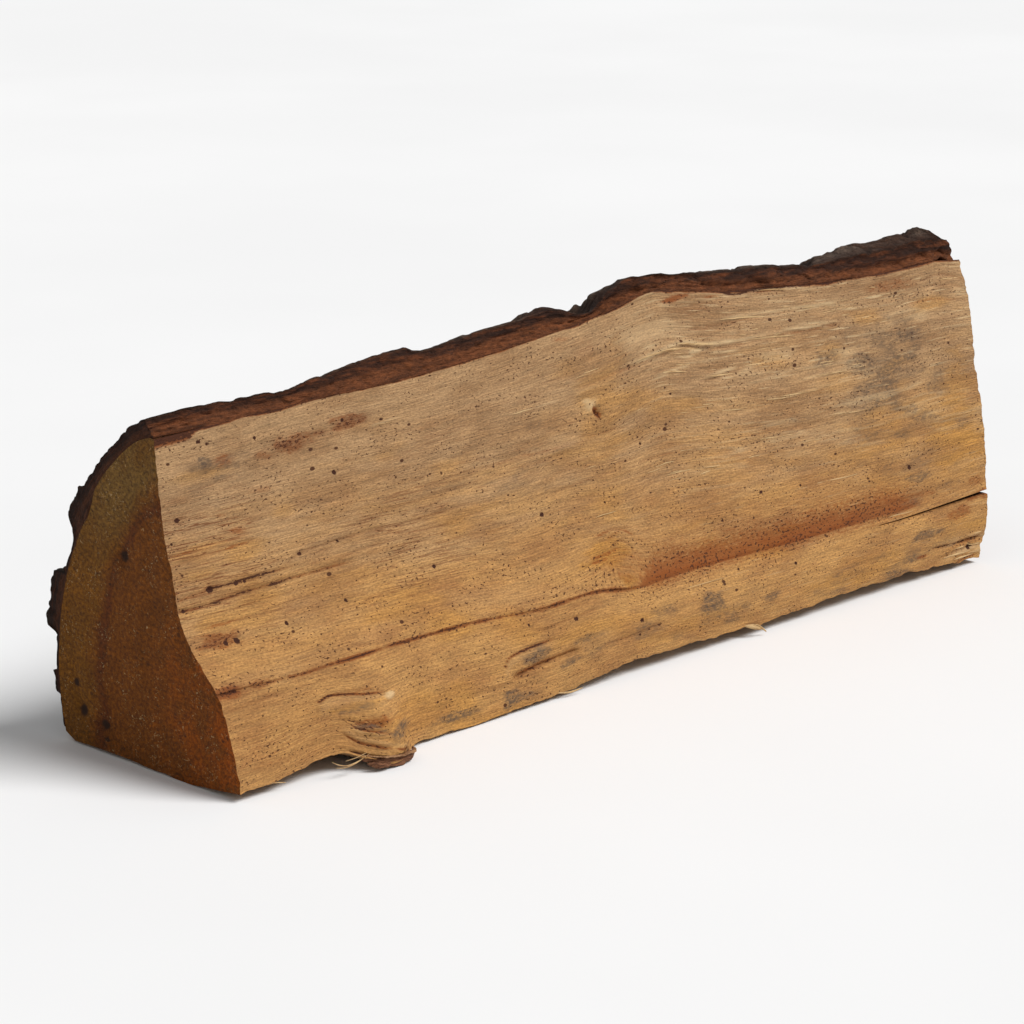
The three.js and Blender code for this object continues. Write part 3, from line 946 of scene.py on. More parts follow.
    def shore(self, out: Relief, x: Array, below: Array, streaks: Array) -> None:
        """The inner bark left along the crest, which is widest at the -X end.

        Args:
            out: the relief to add to.
            x: places along the grain.
            below: how far below the crest each point is.
            streaks: noise along the fibres.
        """
        residue = 0.5 + 1.9 * (1 - smooth_step(x, -153, -150)) + 0.5 * streaks + 0.6 * bell(x, 67, 8)
        out.stain(Stain.RUST_AND_SHADE, 0.9 * (1 - smooth_step(below, 0.8 * residue, 1.1 * residue + 0.3)))
        out.stain(Stain.DARK, 0.7 * (1 - smooth_step(below, 0.6 * residue, residue + 0.1)))

    def torn_end(self, out: Relief, x: Array, z: Array) -> None:
        """The lower corner of the +X end, where the fibres are frayed into loose strips. Their colour follows
        their height: the raised strips are painted pale as light, and the low gaps red-brown and dark as shade.

        Args:
            out: the relief to add to.
            x: places along the grain.
            z: heights above the floor.
        """
        frayed = smooth_step(x, 138, 160) * (1 - smooth_step(z, 9, 14))
        torn = Field(51).fractal(x / 12, z / 1.6, 2)
        out.height += frayed * (0.8 * torn - 0.3)
        # Painted light on the raised strips, and painted shade in the gaps between them.
        out.stain(Stain.PALE, 0.5 * frayed * smooth_step(torn, 0.05, 0.45))
        out.stain(Stain.RUST_AND_SHADE, 0.7 * frayed * smooth_step(-torn, 0, 0.4))
        out.stain(Stain.DARK, 0.6 * frayed * smooth_step(-torn, 0.3, 0.6))

    def face(self, x: Array) -> tuple[Array, Relief, Array]:
        """The finished split face.

        Args:
            x: places along the grain.

        Returns:
            Its points of shape (places, columns, 3), its relief, and the fibre that passes through each point.
        """
        t, carve = self.columns(x)
        smooth = self.trunk.face(x, t)
        tangent = np.gradient(smooth, axis=1)
        tangent /= np.linalg.norm(tangent, axis=-1, keepdims=True) + 1e-9
        outward = np.stack([-tangent[..., 1], tangent[..., 0]], axis=-1)
        out = self.relief(x[:, None], smooth[..., 1])
        rise = smooth[..., 1] - TOE.at(x)[:, None]
        settle = smooth_step(rise, 0, 2.5)
        height = out.height * (0.4 + 0.6 * settle) - carve
        # Painted shade: the crease and the drying crack are darkened where they are cut deeper than half a
        # millimetre.
        out.stain(Stain.DARK, smooth_step(carve, 0.5, 2) * np.minimum(1, carve))
        moved = smooth + outward * height[..., None]
        ragged = Field(61).fractal(x / 7, x * 0, 5, 0.6)[:, None] * (1 - settle)
        moved[..., 1] = np.maximum(moved[..., 1] + ragged, 0.05)
        points = np.concatenate([np.broadcast_to(x[:, None, None], moved.shape[:2] + (1,)), moved], axis=-1)
        return points, out, self.grain(np.broadcast_to(x[:, None], moved.shape[:2]), smooth[..., 1])

    def seat(self, x: Array, toe: Array, heel: Array) -> Array:
        """The lower split face from toe to heel: flat in its middle, and only ever hollowed upwards.

        Args:
            x: places along the grain.
            toe: the toe's points.
            heel: the heel's points.

        Returns:
            Points of shape (places, columns, 3).
        """
        s = (np.arange(1, self.seat_columns + 1) / (self.seat_columns + 1))[None]
        y = mix(toe[:, 1:2], heel[:, 1:2], s)
        front, rear = between(y, SEAT_FROM, toe[:, 1:2]), between(y, SEAT_TO, heel[:, 1:2])
        window = np.sin(np.pi * s) ** 0.5
        rough = 0.9 * Field(81).fractal(x[:, None] / 40, y / 5, 4)
        rough += 0.5 * np.tanh(5 * Field(82).fractal(x[:, None] / 50, y / 9, 2))
        raised = 1.2 * smooth_step(-x, 130, 165)[:, None] * smooth_step(y, 22, 60)
        z = toe[:, 2:] * front + heel[:, 2:] * rear + window * (np.maximum(rough, 0.0) + raised)
        return np.stack([np.broadcast_to(x[:, None], y.shape), y, z], axis=-1)

    def back(self, x: Array) -> Array:
        """The round back from heel to crest, which the bark covers down to just above the heel.

        Args:
            x: places along the grain.

        Returns:
            Points of shape (places, columns, 3).
        """
        share = 1.0 - (1.0 - np.arange(self.back_columns) / self.back_columns)[None] ** 1.4
        angle = mix(self.trunk.heel_angle(x)[:, None], self.trunk.crest_polar(x)[0][:, None], share)
        radius = self.trunk.wood_radius(x, angle) + 0.25 * Field(83).fractal(x[:, None] / 20, angle / 3, 3)
        y, z = around_pith(angle, radius)
        return np.stack([np.broadcast_to(x[:, None], y.shape), y, z], axis=-1)

    def chip_ends(self, points: Array) -> Array:
        """Draw the last millimetres of each end inwards by a random depth, so the sawn edges are chipped.

        Args:
            points: the points.

        Returns:
            The moved points.
        """
        x, z = points[..., 0], points[..., 2]
        reach, half = 12.0, self.trunk.half_length
        rough = np.abs(Field(91).fractal(points[..., 1] / 9 + 3, z / 6, 5, 0.6)) ** 1.3
        right = 1.6 * rough + 1.4 * smooth_step(z, 92, 102) ** 2 + 1 - smooth_step(z, 3, 12)
        right -= 1.9 * bell(z, 45, 32) * smooth_step(-points[..., 1], -24, -8)
        left = 0.1 + 0.9 * rough
        shift = np.where(x > 0, -right, left) * smooth_step(np.abs(x), half - reach, half)
        moved = points.copy()
        moved[..., 0] = x + shift
        return moved

    def cap(self, loop: Array, centre: tuple[float, float], rings: int, first: int,
            flip: bool) -> tuple[Array, Array, Array]:
        """A sawn end: rings from the chipped edge to a centre, roughened by the saw inside the edge.

        Args:
            loop: the end's ring of points.
            centre: (y, z) of the cap's centre.
            rings: how many rings fill it.
            first: the number that the first new point will have.
            flip: whether this is the -X end.

        Returns:
            The new points and both arrays of faces.
        """
        half = self.trunk.half_length
        sign = -1.0 if flip else 1.0
        hub = np.array([sign * (half - 0.15), *centre])
        points, quads, fan = cap_rings(loop, hub, rings, first, flip)
        y, z = points[:, 1], points[:, 2]
        inset = 0.3 + 0.22 * Field(92).fractal(y / 7 + z / 40, z / 7, 4)
        inset += 0.15 * Field(93).value(y / 2.2, z / 30.0)
        depth = np.clip(np.repeat(np.arange(1, rings + 1), len(loop)) / 2.5, 0.0, 1.0)
        depth = np.append(depth, 1.0)
        for hole_y, hole_z, radius, _ in WORM_HOLES if flip else ():
            inset += WORM_DEPTH * np.exp(-((y - hole_y) ** 2 + (z - hole_z) ** 2) / radius**2)
        points[:, 0] = mix(points[:, 0], sign * (half - inset), depth)
        return points, quads, fan

    def build(self, finishes: tuple[Material, Material]) -> Object:
        """One closed mesh: rings round the wedge from end to end, and a filled cap on each end.

        Args:
            finishes: the split face's material and the sawn ends'.

        Returns:
            The wood.
        """
        x = np.linspace(-self.trunk.half_length, self.trunk.half_length, self.stations)
        face, relief, fibre = self.face(x)
        back = self.back(x)
        seat = self.seat(x, face[:, 0], back[:, 0])
        rings = self.chip_ends(np.concatenate([face[:, :1], seat, back, face[:, :0:-1]], axis=1))
        around = rings.shape[1]
        total = rings.shape[0] * around
        left = self.cap(rings[0], (45.0, 40.0), self.left_rings, total, True)
        right = self.cap(rings[-1], (42.0, 24.6), self.right_rings, total + len(left[0]), False)
        points = np.concatenate([rings.reshape(-1, 3), left[0], right[0]])
        ends = []
        for (_, quads, fan), start in ((left, around), (right, total)):
            ends += [(np.where(part < 0, part + start, part), 1) for part in (quads, fan)]
        values, vectors = self.attributes(x, rings, relief, fibre, len(points))
        data = MeshData(points, [(ring_faces(len(x), around), 0)] + ends, values, vectors)
        return make_object("split_wood_visual", data, finishes, self.trunk)

    def attributes(self, x: Array, rings: Array, relief: Relief, fibre: Array,
                   total: int) -> tuple[dict[str, Array], dict[str, Array]]:
        """Stain masks for every point, and the grain's own coordinates: along, across and which face.

        Args:
            x: places along the grain.
            rings: all rings of points.
            relief: the split face's relief.
            fibre: which fibre passes through each point.
            total: how many points the whole mesh has.

        Returns:
            The masks, and the grain's coordinates.
        """
        face_columns = np.concatenate([[0], np.arange(rings.shape[1] - fibre.shape[1] + 1, rings.shape[1])])
        order = np.concatenate([[0], np.arange(fibre.shape[1] - 1, 0, -1)])
        values = {}
        for key, mask in relief.masks.items():
            full = np.zeros(rings.shape[:2])
            full[:, face_columns] = mask[:, order]
            values[key] = np.pad(np.clip(full, 0.0, 1.0).ravel(), (0, total - full.size))
        across = np.where(np.arange(rings.shape[1])[None] < 1, 0.0, rings[..., 1] + 200.0)
        across[:, face_columns] = fibre[:, order]
        grain = np.stack([np.broadcast_to(x[:, None], across.shape), across, np.zeros_like(across)], axis=-1)
        padded = np.zeros((total, 3))
        padded[:grain.shape[0] * grain.shape[1]] = grain.reshape(-1, 3)
        return values, {"grain": padded}


# ---- The bark --------------------------------------------------------------------------------------------


@dataclass(frozen=True)
class Scale:
    """A scale of outer bark at the -X end, flat on top with a ragged steep edge."""

    long: float
    angle: float
    tall: float
    thick: float

    def at(self, x: Array, angle: Array) -> Array:
        """How much it adds to the bark's thickness at each point.

        Args:
            x: places along the grain.
            angle: angles round the pith, in degrees.

        Returns:
            Millimetres.
        """
        ragged = 0.35 * Field(103).fractal(x / 5, angle / 3, 3)
        away = np.hypot((x + 166.0) / self.long, (angle - self.angle) / self.tall)
        return self.thick * (1 - smooth_step(away + ragged, 0.8, 1.05))


@dataclass
class Bark:
    """The bark on the rounded back: an outer skin of plates, a broken edge and a smooth inner side."""

    trunk: Trunk
    stations: int = 350
    outer_columns: int = 150
    inner_columns: int = 16
    edge_layers: int = 12
    lowest_angle: float = -8.0
    back_thickness: float = 5.4
    crest_band: float = 30.0
    rim: float = 1.5
    scales: tuple[Scale, ...] = (Scale(20.0, 13.4, 6.6, 5.3), Scale(8.0, -2.0, 2.2, 1.8))
    chunk: Scale = Scale(14.0, 33.0, 4.0, 1.9)

    def thickness(self, x: Array, angle: Array) -> Array:
        """How thick the bark is: as broken at the crest, even over the back, and worn thin at the -X end.

        Args:
            x: places along the grain.
            angle: angles round the pith, in degrees.

        Returns:
            Millimetres.
        """
        crest = self.trunk.crest_polar(x)[0][:, None]
        near_crest = smooth_step(angle, crest - self.crest_band, crest)
        full = mix(self.back_thickness, BARK_AT_CREST.at(x)[:, None], near_crest)
        full += BARK_HUMP.at(x)[:, None] * bell(angle, crest - 6, 5) - 0.7 * self.trunk.shoulder(x, angle)
        column = x[:, None]
        full += self.chunk.at(column, angle)
        worn = 0.4 * Field(102).fractal(column / 9, angle / 4, 3)
        worn = np.maximum(worn + self.rim * smooth_step(angle, -12, 2), 0.5)
        worn += sum(scale.at(column, angle) for scale in self.scales)
        ragged = 5 * Field(101).fractal(column / 14, angle / 6, 3)
        bare = 1 - smooth_step(column + 2.5 * ragged, -142, -112)
        return mix(full, worn, bare * (1 - smooth_step(angle + ragged, 27, 33)))

    def skin(self, x: Array, angle: Array) -> tuple[Array, Array, Array]:
        """The outer surface's own relief.

        Plates are Worley cells, longer along the grain, with the fissures on their walls. Each plate has its
        own height and carries terraces of flaking layers and fine ridges along the grain.

        Args:
            x: places along the grain.
            angle: angles round the pith, in degrees.

        Returns:
            The relief in millimetres, how deep in a fissure each point is from 0 to 1, and each plate's number.
        """
        arc = np.radians(angle) * TRUNK_RADIUS
        column = np.broadcast_to(x[:, None], angle.shape)
        bend_u = 0.5 * Field(111).fractal(column / 16, arc / 9, 3)
        bend_v = 0.6 * Field(112).fractal(column / 18, arc / 8, 3)
        wall, plate = Field(113).cells(column / 24.0 + bend_u, arc / 9.5 + bend_v)
        minor, _ = Field(114).cells(column / 9.0 + bend_v, arc / 5.0 + bend_u)
        fissure = 1 - smooth_step(wall, 0.03, 0.30)
        crackle = 1 - smooth_step(minor, 0.02, 0.16)
        layers = np.tanh(9 * Field(115).fractal(column / 13, arc / 6, 3))
        ridges = Field(116).fractal(column / 10, arc / 1.6, 4, 0.6)
        relief = 0.9 * (plate - 0.5) + 0.36 * layers + 0.42 * ridges - 1.7 * fissure - 0.45 * crackle
        relief += 0.42 * Field(117).fractal(column / 2.6, arc / 1.7, 2) + 0.35
        return relief, np.clip(fissure + 0.5 * crackle, 0.0, 1.0), plate

    def lift(self, x: Array, angle: Array) -> Array:
        """How far the inner side stands off the wood: pressed into it, but lifted at the far crest.

        Args:
            x: places along the grain.
            angle: angles round the pith, in degrees.

        Returns:
            Millimetres.
        """
        crest = self.trunk.crest_polar(x)[0][:, None]
        place = (bell(x, 157.5, 3.6) + 0.25 * smooth_step(x, 120, 150))[:, None]
        return -0.3 + 1.5 * place * smooth_step(angle, crest - 9, crest)

    def edge(self, x: Array, outer: Array, inner: Array, forward: float, seed: int) -> Array:
        """The broken edge between the outer and inner sides, as torn layers.

        Args:
            x: places along the grain.
            outer: angle and radius of the outer corner, of shape (places, 2).
            inner: angle and radius of the inner corner.
            forward: which way round the pith the edge looks, 1 or -1.
            seed: the random field's seed.

        Returns:
            Angles and radii of shape (places, layers - 1, 2), from the outer to the inner corner.
        """
        share = (np.arange(1, self.edge_layers) / self.edge_layers)[None]
        column = x[:, None]
        bent = share * 2.6 + 0.3 * Field(seed).fractal(column / 6, share, 2)
        chips, chip = Field(seed + 3).cells(column / 9.0, bent)
        steps = 0.7 * np.tanh(3 * Field(seed).fractal(column / 30, share * 4 + 0.3, 2))
        steps += 1.2 * (chip - 0.55) - 0.45 * (1 - smooth_step(chips, 0.02, 0.14))
        steps += 0.45 * Field(seed + 1).fractal(column / 3.2, share * 7, 3)
        steps += 0.8 * smooth_step(share, 0.72, 0.86)
        out = np.degrees(steps * np.sin(np.pi * share) ** 0.35 / TRUNK_RADIUS)
        jitter = 0.25 * Field(seed + 2).fractal(column / 5, share * 9, 2) * np.sin(np.pi * share)
        line = mix(outer[:, None], inner[:, None], share[..., None])
        return line + np.stack([forward * out, jitter], axis=-1)

    def end_pull(self, angle: Array, high: Array, right: bool) -> Array:
        """How far the bark's end stops short of the saw cut: ragged, and rounded off at the far crest.

        Args:
            angle: angles round the pith, in degrees.
            high: how far each point stands off the wood.
            right: whether this is the +X end.

        Returns:
            Millimetres.
        """
        ragged = 0.7 * np.abs(Field(121 + right).fractal(angle / 2.2, high / 2, 3))
        if not right:
            return 0.2 + ragged
        near = smooth_step(angle, 44, 60)
        return 0.3 + ragged + near * (4.6 + 2.8 * between(high, 0, 11.5) ** 1.5)

    def outer_side(self, x: Array, angle: Array) -> tuple[Array, dict[str, Array]]:
        """The outer side's own thickness and look. The relief calms down where the bark is thin or at its edge.

        Args:
            x: places along the grain.
            angle: angles round the pith, in degrees.

        Returns:
            The thickness, and how deep in a fissure, which plate and how worn each point is.
        """
        crest = self.trunk.crest_polar(x)[0][:, None]
        relief, fissure, plate = self.skin(x, angle)
        thick = self.thickness(x, angle)
        calm = np.clip(thick / self.back_thickness, 0.15, 1.0)
        calm *= 0.40 + 0.60 * between(angle, crest, crest - 10)
        calm *= (1 - 0.65 * smooth_step(-x, 135, 158))[:, None]
        thick = np.maximum(thick + relief * calm, 0.5)
        worn = np.maximum(1 - smooth_step(thick, 1.6, 3.2), 0.9 * smooth_step(angle, crest - 3.6, crest - 0.8))
        worn = np.maximum(worn, 0.55 * smooth_step(angle, crest - 14, crest - 7))
        return thick, {"fissure": fissure, "plate": plate, "worn": worn}

    def build(self, finish: Material) -> Object:
        """One closed mesh: a ring of outer side, crest edge, inner side and lower edge at each place.

        Args:
            finish: the bark's material.

        Returns:
            The bark.
        """
        half = self.trunk.half_length
        x = np.linspace(-half, half, self.stations)
        crest = self.trunk.crest_polar(x)[0]
        low = self.lowest_angle - 2.6 * smooth_step(-x, 128, 150)
        low += 0.5 * Field(131).fractal(x / 9, x * 0, 4)
        outer, inner = (mix(low[:, None], crest[:, None], np.linspace(*ends, count + 1)[None])
                        for ends, count in (((0.0, 1.0), self.outer_columns), ((1.0, 0.0), self.inner_columns)))
        thick, values = self.outer_side(x, outer)
        sides = [np.stack([angle, self.trunk.wood_radius(x, angle) + self.lift(x, angle) + more], axis=-1)
                 for angle, more in ((outer, thick), (inner, 0.0))]
        top = self.edge(x, sides[0][:, -1], sides[1][:, 0], 1.0, 141)
        foot = self.edge(x, sides[0][:, 0], sides[1][:, -1], -1.0, 151)
        ring = np.concatenate([sides[0], top, sides[1], foot[:, ::-1]], axis=1)
        angles, radii = ring[..., 0], ring[..., 1]
        high = radii - self.trunk.wood_radius(x, angles)
        column = np.broadcast_to(x[:, None], angles.shape).copy()
        pulls = [smooth_step(sign * column, half - fade, half) * self.end_pull(angles, high, sign > 0)
                 for sign, fade in ((1, 16.0), (-1, 6.0))]
        column += pulls[1] - pulls[0]
        rest = ((0, 0), (0, angles.shape[1] - outer.shape[1]))
        values = {key: np.pad(value, rest) for key, value in values.items()}
        values["broken"] = np.pad(np.zeros(outer.shape), rest, constant_values=1.0)
        values["layer"] = 1 - np.clip(high / np.maximum(BARK_AT_CREST.at(x)[:, None], 2.0), 0.0, 1.0)
        off = radii - TRUNK_RADIUS
        grain = np.stack([column, np.radians(angles) * TRUNK_RADIUS + off, off], axis=-1)
        return self.close(np.stack([column, *around_pith(angles, radii)], axis=-1), values, grain, finish)

    def close(self, rings: Array, values: dict[str, Array], grain: Array, finish: Material) -> Object:
        """Close both ends with layers that match the broken edge's, and make the object.

        Args:
            rings: the points, ring by ring.
            values: what is stored on each point.
            grain: the grain's coordinates at each point.
            finish: the bark's material.

        Returns:
            The bark.
        """
        around = rings.shape[1]
        faces = [(ring_faces(rings.shape[0], around), 0)]
        points, grains = [rings.reshape(-1, 3)], [grain.reshape(-1, 3)]
        extra = {key: [value.ravel()] for key, value in values.items()}
        for station, flip in ((0, True), (rings.shape[0] - 1, False)):
            fill, depth, made = self.end_cap(rings[station], station * around, sum(map(len, points)), flip)
            faces += [(part[:, ::-1] if flip else part, 0) for part in made]
            points.append(fill)
            # Both end faces take the fissures' dark colour: a fissure value of 0.75 at the -X end and 0.25 at
            # the +X end.
            end_darkening = np.full(len(fill), 0.75 if flip else 0.25)
            look = {"broken": np.ones(len(fill)), "layer": depth, "fissure": end_darkening}
            for key, parts in extra.items():
                parts.append(look.get(key, np.zeros(len(fill))))
            y, z = fill[:, 1] - PITH_Y, fill[:, 2] - PITH_Z
            radius = 1.6 * np.hypot(y, z)
            grains.append(np.stack([np.arctan2(z, y) * TRUNK_RADIUS, radius, radius], axis=-1))
        merged = {key: np.concatenate(parts) for key, parts in extra.items()}
        data = MeshData(np.concatenate(points), faces, merged, {"grain": np.concatenate(grains)})
        return make_object("bark_visual", data, (finish,), self.trunk)

    def end_cap(self, ring: Array, base: int, first: int, flip: bool) -> tuple[Array, Array, list[Array]]:
        """The points and faces that fill one end, layer by layer, down to the coarser inner side.

        Each new point is the outer side's point moved a share of the way to the inner side's line.

        Args:
            ring: the end's ring of points.
            base: the number of the ring's first point.
            first: the number that the first new point will have.
            flip: whether this is the -X end.

        Returns:
            The new points, how deep in the bark each is, and the faces, which look along +X.
        """
        outer, layers, inner = self.outer_columns + 1, self.edge_layers - 1, self.inner_columns + 1
        names = np.empty((layers + 1, outer), dtype=int)
        names[0] = base + np.arange(outer)
        names[1:, 0] = base + len(ring) - 1 - np.arange(layers)
        names[1:, -1] = base + outer + np.arange(layers)
        names[1:, 1:-1] = first + np.arange(layers * (outer - 2)).reshape(layers, outer - 2)
        inner_line = ring[outer + layers:outer + layers + inner][::-1]
        along = np.linspace(0.0, 1.0, outer)
        target = np.stack([np.interp(along, np.linspace(0, 1, inner), inner_line[:, k]) for k in range(3)], -1)
        share = (np.arange(1, layers + 1) / self.edge_layers)[:, None, None]
        fill = mix(ring[None, :outer], target[None], share)[:, 1:-1]
        fill[..., 0] += 0.35 * Field(161 + flip).fractal(fill[..., 1] / 2.5, fill[..., 2] / 2.5, 3)
        quads = np.stack([names[:-1, :-1], names[:-1, 1:], names[1:, 1:], names[1:, :-1]], -1).reshape(-1, 4)
        inner_names = base + outer + layers + inner - 1 - np.arange(inner)
        match = np.round(along * (inner - 1)).astype(int)
        fan = np.stack([names[-1, :-1], names[-1, 1:], inner_names[match[:-1]]], axis=-1)
        turns = np.nonzero(np.diff(match))[0] + 1
        step = np.stack([names[-1, turns], inner_names[match[turns]], inner_names[match[turns] - 1]], axis=-1)
        depth = np.broadcast_to(share[:, :, 0], fill.shape[:2]).ravel()
        return fill.reshape(-1, 3), depth, [quads, np.concatenate([fan, step])]


# ---- Torn fibres -----------------------------------------------------------------------------------------


@dataclass(frozen=True)
class Strand:
    """One loose sliver of wood, as a path with a width and a thickness at its middle."""

    path: tuple[tuple[float, float, float], ...]
    width: float
    thickness: float
    steps: int = 16

    def tube(self, around: int = 8) -> tuple[Array, Array, Array]:
        """Points and faces of the sliver: an oval that tapers to both tips, carried along a smooth path.

        Args:
            around: how many points go round.

        Returns:
            The points, the four-sided faces and the three-sided faces at the tips.
        """
        path = np.array(self.path)
        t = np.linspace(0.0, len(path) - 1, self.steps)
        i = np.clip(np.floor(t).astype(int), 0, len(path) - 2)
        f = (t - i)[:, None]
        p0, p1 = path[np.maximum(i - 1, 0)], path[i]
        p2, p3 = path[i + 1], path[np.minimum(i + 2, len(path) - 1)]
        v0, v1 = (p2 - p0) / 2, (p3 - p1) / 2
        centre = (2 * p1 - 2 * p2 + v0 + v1) * f**3 + (-3 * p1 + 3 * p2 - 2 * v0 - v1) * f**2 + v0 * f + p1
        run = np.gradient(centre, axis=0)
        run /= np.linalg.norm(run, axis=1, keepdims=True)
        flat = np.cross(run, np.array([0.0, -1.0, 0.0]))
        flat /= np.linalg.norm(flat, axis=1, keepdims=True) + 1e-9
        out = np.cross(flat, run)
        taper = np.sin(np.pi * np.linspace(0.04, 0.96, self.steps)) ** 0.7
        turn = np.linspace(0.0, 2 * np.pi, around, endpoint=False)
        wide, thick = self.width / 2 * np.cos(turn)[:, None], self.thickness / 2 * np.sin(turn)[:, None]
        rings = centre[:, None] + taper[:, None, None] * (wide * flat[:, None] + thick * out[:, None])
        tips = np.stack([centre[0] - run[0] * self.width * 0.4, centre[-1] + run[-1] * self.width * 0.4])
        points = np.concatenate([rings.reshape(-1, 3), tips])
        quads = ring_faces(self.steps, around)
        ring = np.arange(around)
        last = (self.steps - 1) * around
        start_fan = np.stack([ring, np.full(around, len(points) - 2), np.roll(ring, -1)], -1)
        end_fan = np.stack([last + ring, last + np.roll(ring, -1), np.full(around, len(points) - 1)], -1)
        return points, quads, np.concatenate([start_fan, end_fan])


Tube = tuple[Array, Array, Array, Array, int]


def join_tubes(name: str, tubes: Sequence[Tube], finishes: Sequence[Material], trunk: Trunk) -> Object:
    """One object from closed tubes.

    Args:
        name: the object's name.
        tubes: for each, its points, its two arrays of faces, where it is across the grain and its material.
        finishes: the materials.
        trunk: what places it in the frame.

    Returns:
        The object.
    """
    faces, start = [], 0
    for points, quads, fans, _, number in tubes:
        faces += [(quads + start, number), (fans + start, number)]
        start += len(points)
    points, across = (np.concatenate([tube[k] for tube in tubes]) for k in (0, 3))
    grain = np.stack([points[:, 0], across, points[:, 1]], axis=-1)
    return make_object(name, MeshData(points, faces, {}, {"grain": grain}), finishes, trunk)


@dataclass
class LooseFibres:
    """The torn slivers that lie along the split face, and the hairs that hang from its lower edge."""

    trunk: Trunk
    wood: SplitWood
    scattered: int = 60

    def on_face(self, x: Array, z: Array, lift: Array) -> Array:
        """Points that stand off the split face by a lift. The y of each is found along the face at its height.

        Args:
            x: places along the grain.
            z: heights above the floor.
            lift: how far each point stands off the face.

        Returns:
            The points.
        """
        rows = self.trunk.face_rows(x)
        y = np.array([np.interp(z[k], rows[:, k, 1], rows[:, k, 0]) for k in range(len(x))])
        height = self.wood.relief(x[:, None], z[:, None]).height[:, 0]
        return np.stack([x, y - height - lift, z], axis=-1)

    def slivers(self) -> list[Strand]:
        """Slivers at the torn places, then ones scattered by a seeded draw, most of them towards +X.

        Returns:
            The slivers.
        """
        placed = (
            (13, 91.4, 22, 0.7, 0.6), (22, 92.8, 20, 0.9, 0.7), (33, 93.4, 12, 0.8, 0.7),
            (58, 91.0, 24, 0.5, 0.5), (50, 98.4, 26, 0.5, 0.5), (21, 85.8, 12, 0.5, 0.5),
            (42, 82.2, 13, 0.6, 0.7), (66, 105.0, 14, 0.5, 0.6), (84, 75.0, 20, 0.4, 0.4),
            (72, 71.0, 22, 0.4, 0.4), (-38, 82.8, 11, 0.3, 0.3), (-90, 87.8, 8, 0.3, 0.3),
            (116, 24.9, 18, 0.4, 0.3), (146, 9.4, 17, 0.6, 0.3), (149, 7.6, 14, 0.6, 0.4),
            (144, 5.6, 19, 0.7, 0.4), (150, 4.0, 13, 0.7, 0.4), (152, 11.4, 12, 0.5, 0.4),
            (152, 97.0, 11, 0.5, 0.5), (-11, 47.8, 9, 0.3, 0.3), (16, 21.0, 22, 0.3, 0.25),
            (84, 41.2, 20, 0.35, 0.3), (30, 94.2, 8, 0.5, 0.6),
        )
        rng = np.random.default_rng(5)
        strands = [self.sliver(*row, seed=k) for k, row in enumerate(placed)]
        for k in range(self.scattered):
            x0 = mix(-20.0, 140.0, rng.beta(1.6, 1.6))
            sizes = [rng.uniform(*ends) for ends in ((52.0, 99.0), (4.0, 12.0), (0.2, 0.4), (0.15, 0.4))]
            strands.append(self.sliver(x0, *sizes, seed=100 + k))
        return strands

    def sliver(self, x0: float, z0: float, long: float, width: float, lift: float, seed: int) -> Strand:
        """A sliver from x0 towards +X, whose free tip rises off the face and whose root sinks into it.

        Args:
            x0: where it starts along the grain.
            z0: its height above the floor there.
            long: its length.
            width: its width.
            lift: how far its tip rises.
            seed: the random draw's seed.

        Returns:
            The sliver.
        """
        rng = np.random.default_rng(seed)
        s = np.linspace(0.0, 1.0, 6)
        x = np.minimum(x0 + s * long, self.trunk.half_length - 1.6)
        slope = (CREST.at(x) - CREST.at(np.array([x0]))) * between(z0, 25.0, 100.0)
        z = z0 + slope + rng.uniform(-0.25, 0.25, 6).cumsum() * 0.5
        free = s if rng.random() < 0.5 else 1 - s
        return Strand(tuple(map(tuple, self.on_face(x, z, lift * free**2 - 0.12))), width, width * 0.55)

    def hairs(self) -> list[Strand]:
        """The fine curved hairs below the knot stub, the wisp at the toe and the splinter further on.

        Returns:
            The hairs.
        """
        return [
            Strand(((-121, -5.0, 4.9), (-126, -5.4, 3.8), (-130, -5.0, 3.3), (-133, -4.6, 4.2),
                    (-135, -4.2, 5.4)), 0.3, 0.25),
            Strand(((-122, -5.0, 4.6), (-127, -5.4, 3.4), (-131, -5.2, 3.0), (-134, -4.8, 3.6)), 0.28, 0.25),
            Strand(((-121, -4.4, 5.2), (-126, -4.6, 4.6), (-130, -4.2, 4.4)), 0.25, 0.2),
            Strand(((-156, 0.6, 3.2), (-152, -0.3, 2.8), (-149, -0.8, 2.2)), 0.3, 0.25),
            Strand(((44, 0.6, 4.2), (47, -0.8, 3.4), (49.6, -1.6, 2.4)), 1.3, 0.8),
            Strand(((45, 0.2, 4.4), (49, -0.6, 3.6), (51, -1.8, 1.8), (51.6, -2.0, 1.2)), 0.6, 0.4),
            Strand(((-41, 0.6, 2.2), (-36, -0.6, 1.6), (-31, -1.0, 1.9)), 0.6, 0.4),
            Strand(((157, 0.2, 11.2), (162, -0.4, 12.0), (165.6, -0.5, 12.6)), 0.5, 0.4),
            Strand(((158, 0.6, 7.4), (162, 0.2, 7.2), (165.2, 0.2, 7.6)), 0.5, 0.4),
        ]

    def build(self, finish: Material) -> Object:
        """All slivers and hairs as one mesh of closed shapes.

        Args:
            finish: their material.

        Returns:
            The object.
        """
        tubes, count = [], 0
        for strand in self.slivers() + self.hairs():
            tube = strand.tube()
            tubes.append((*tube, tube[0][:, 2] + count % 97, 0))
            count += len(tube[0])
        return join_tubes("loose_fibres", tubes, (finish,), self.trunk)


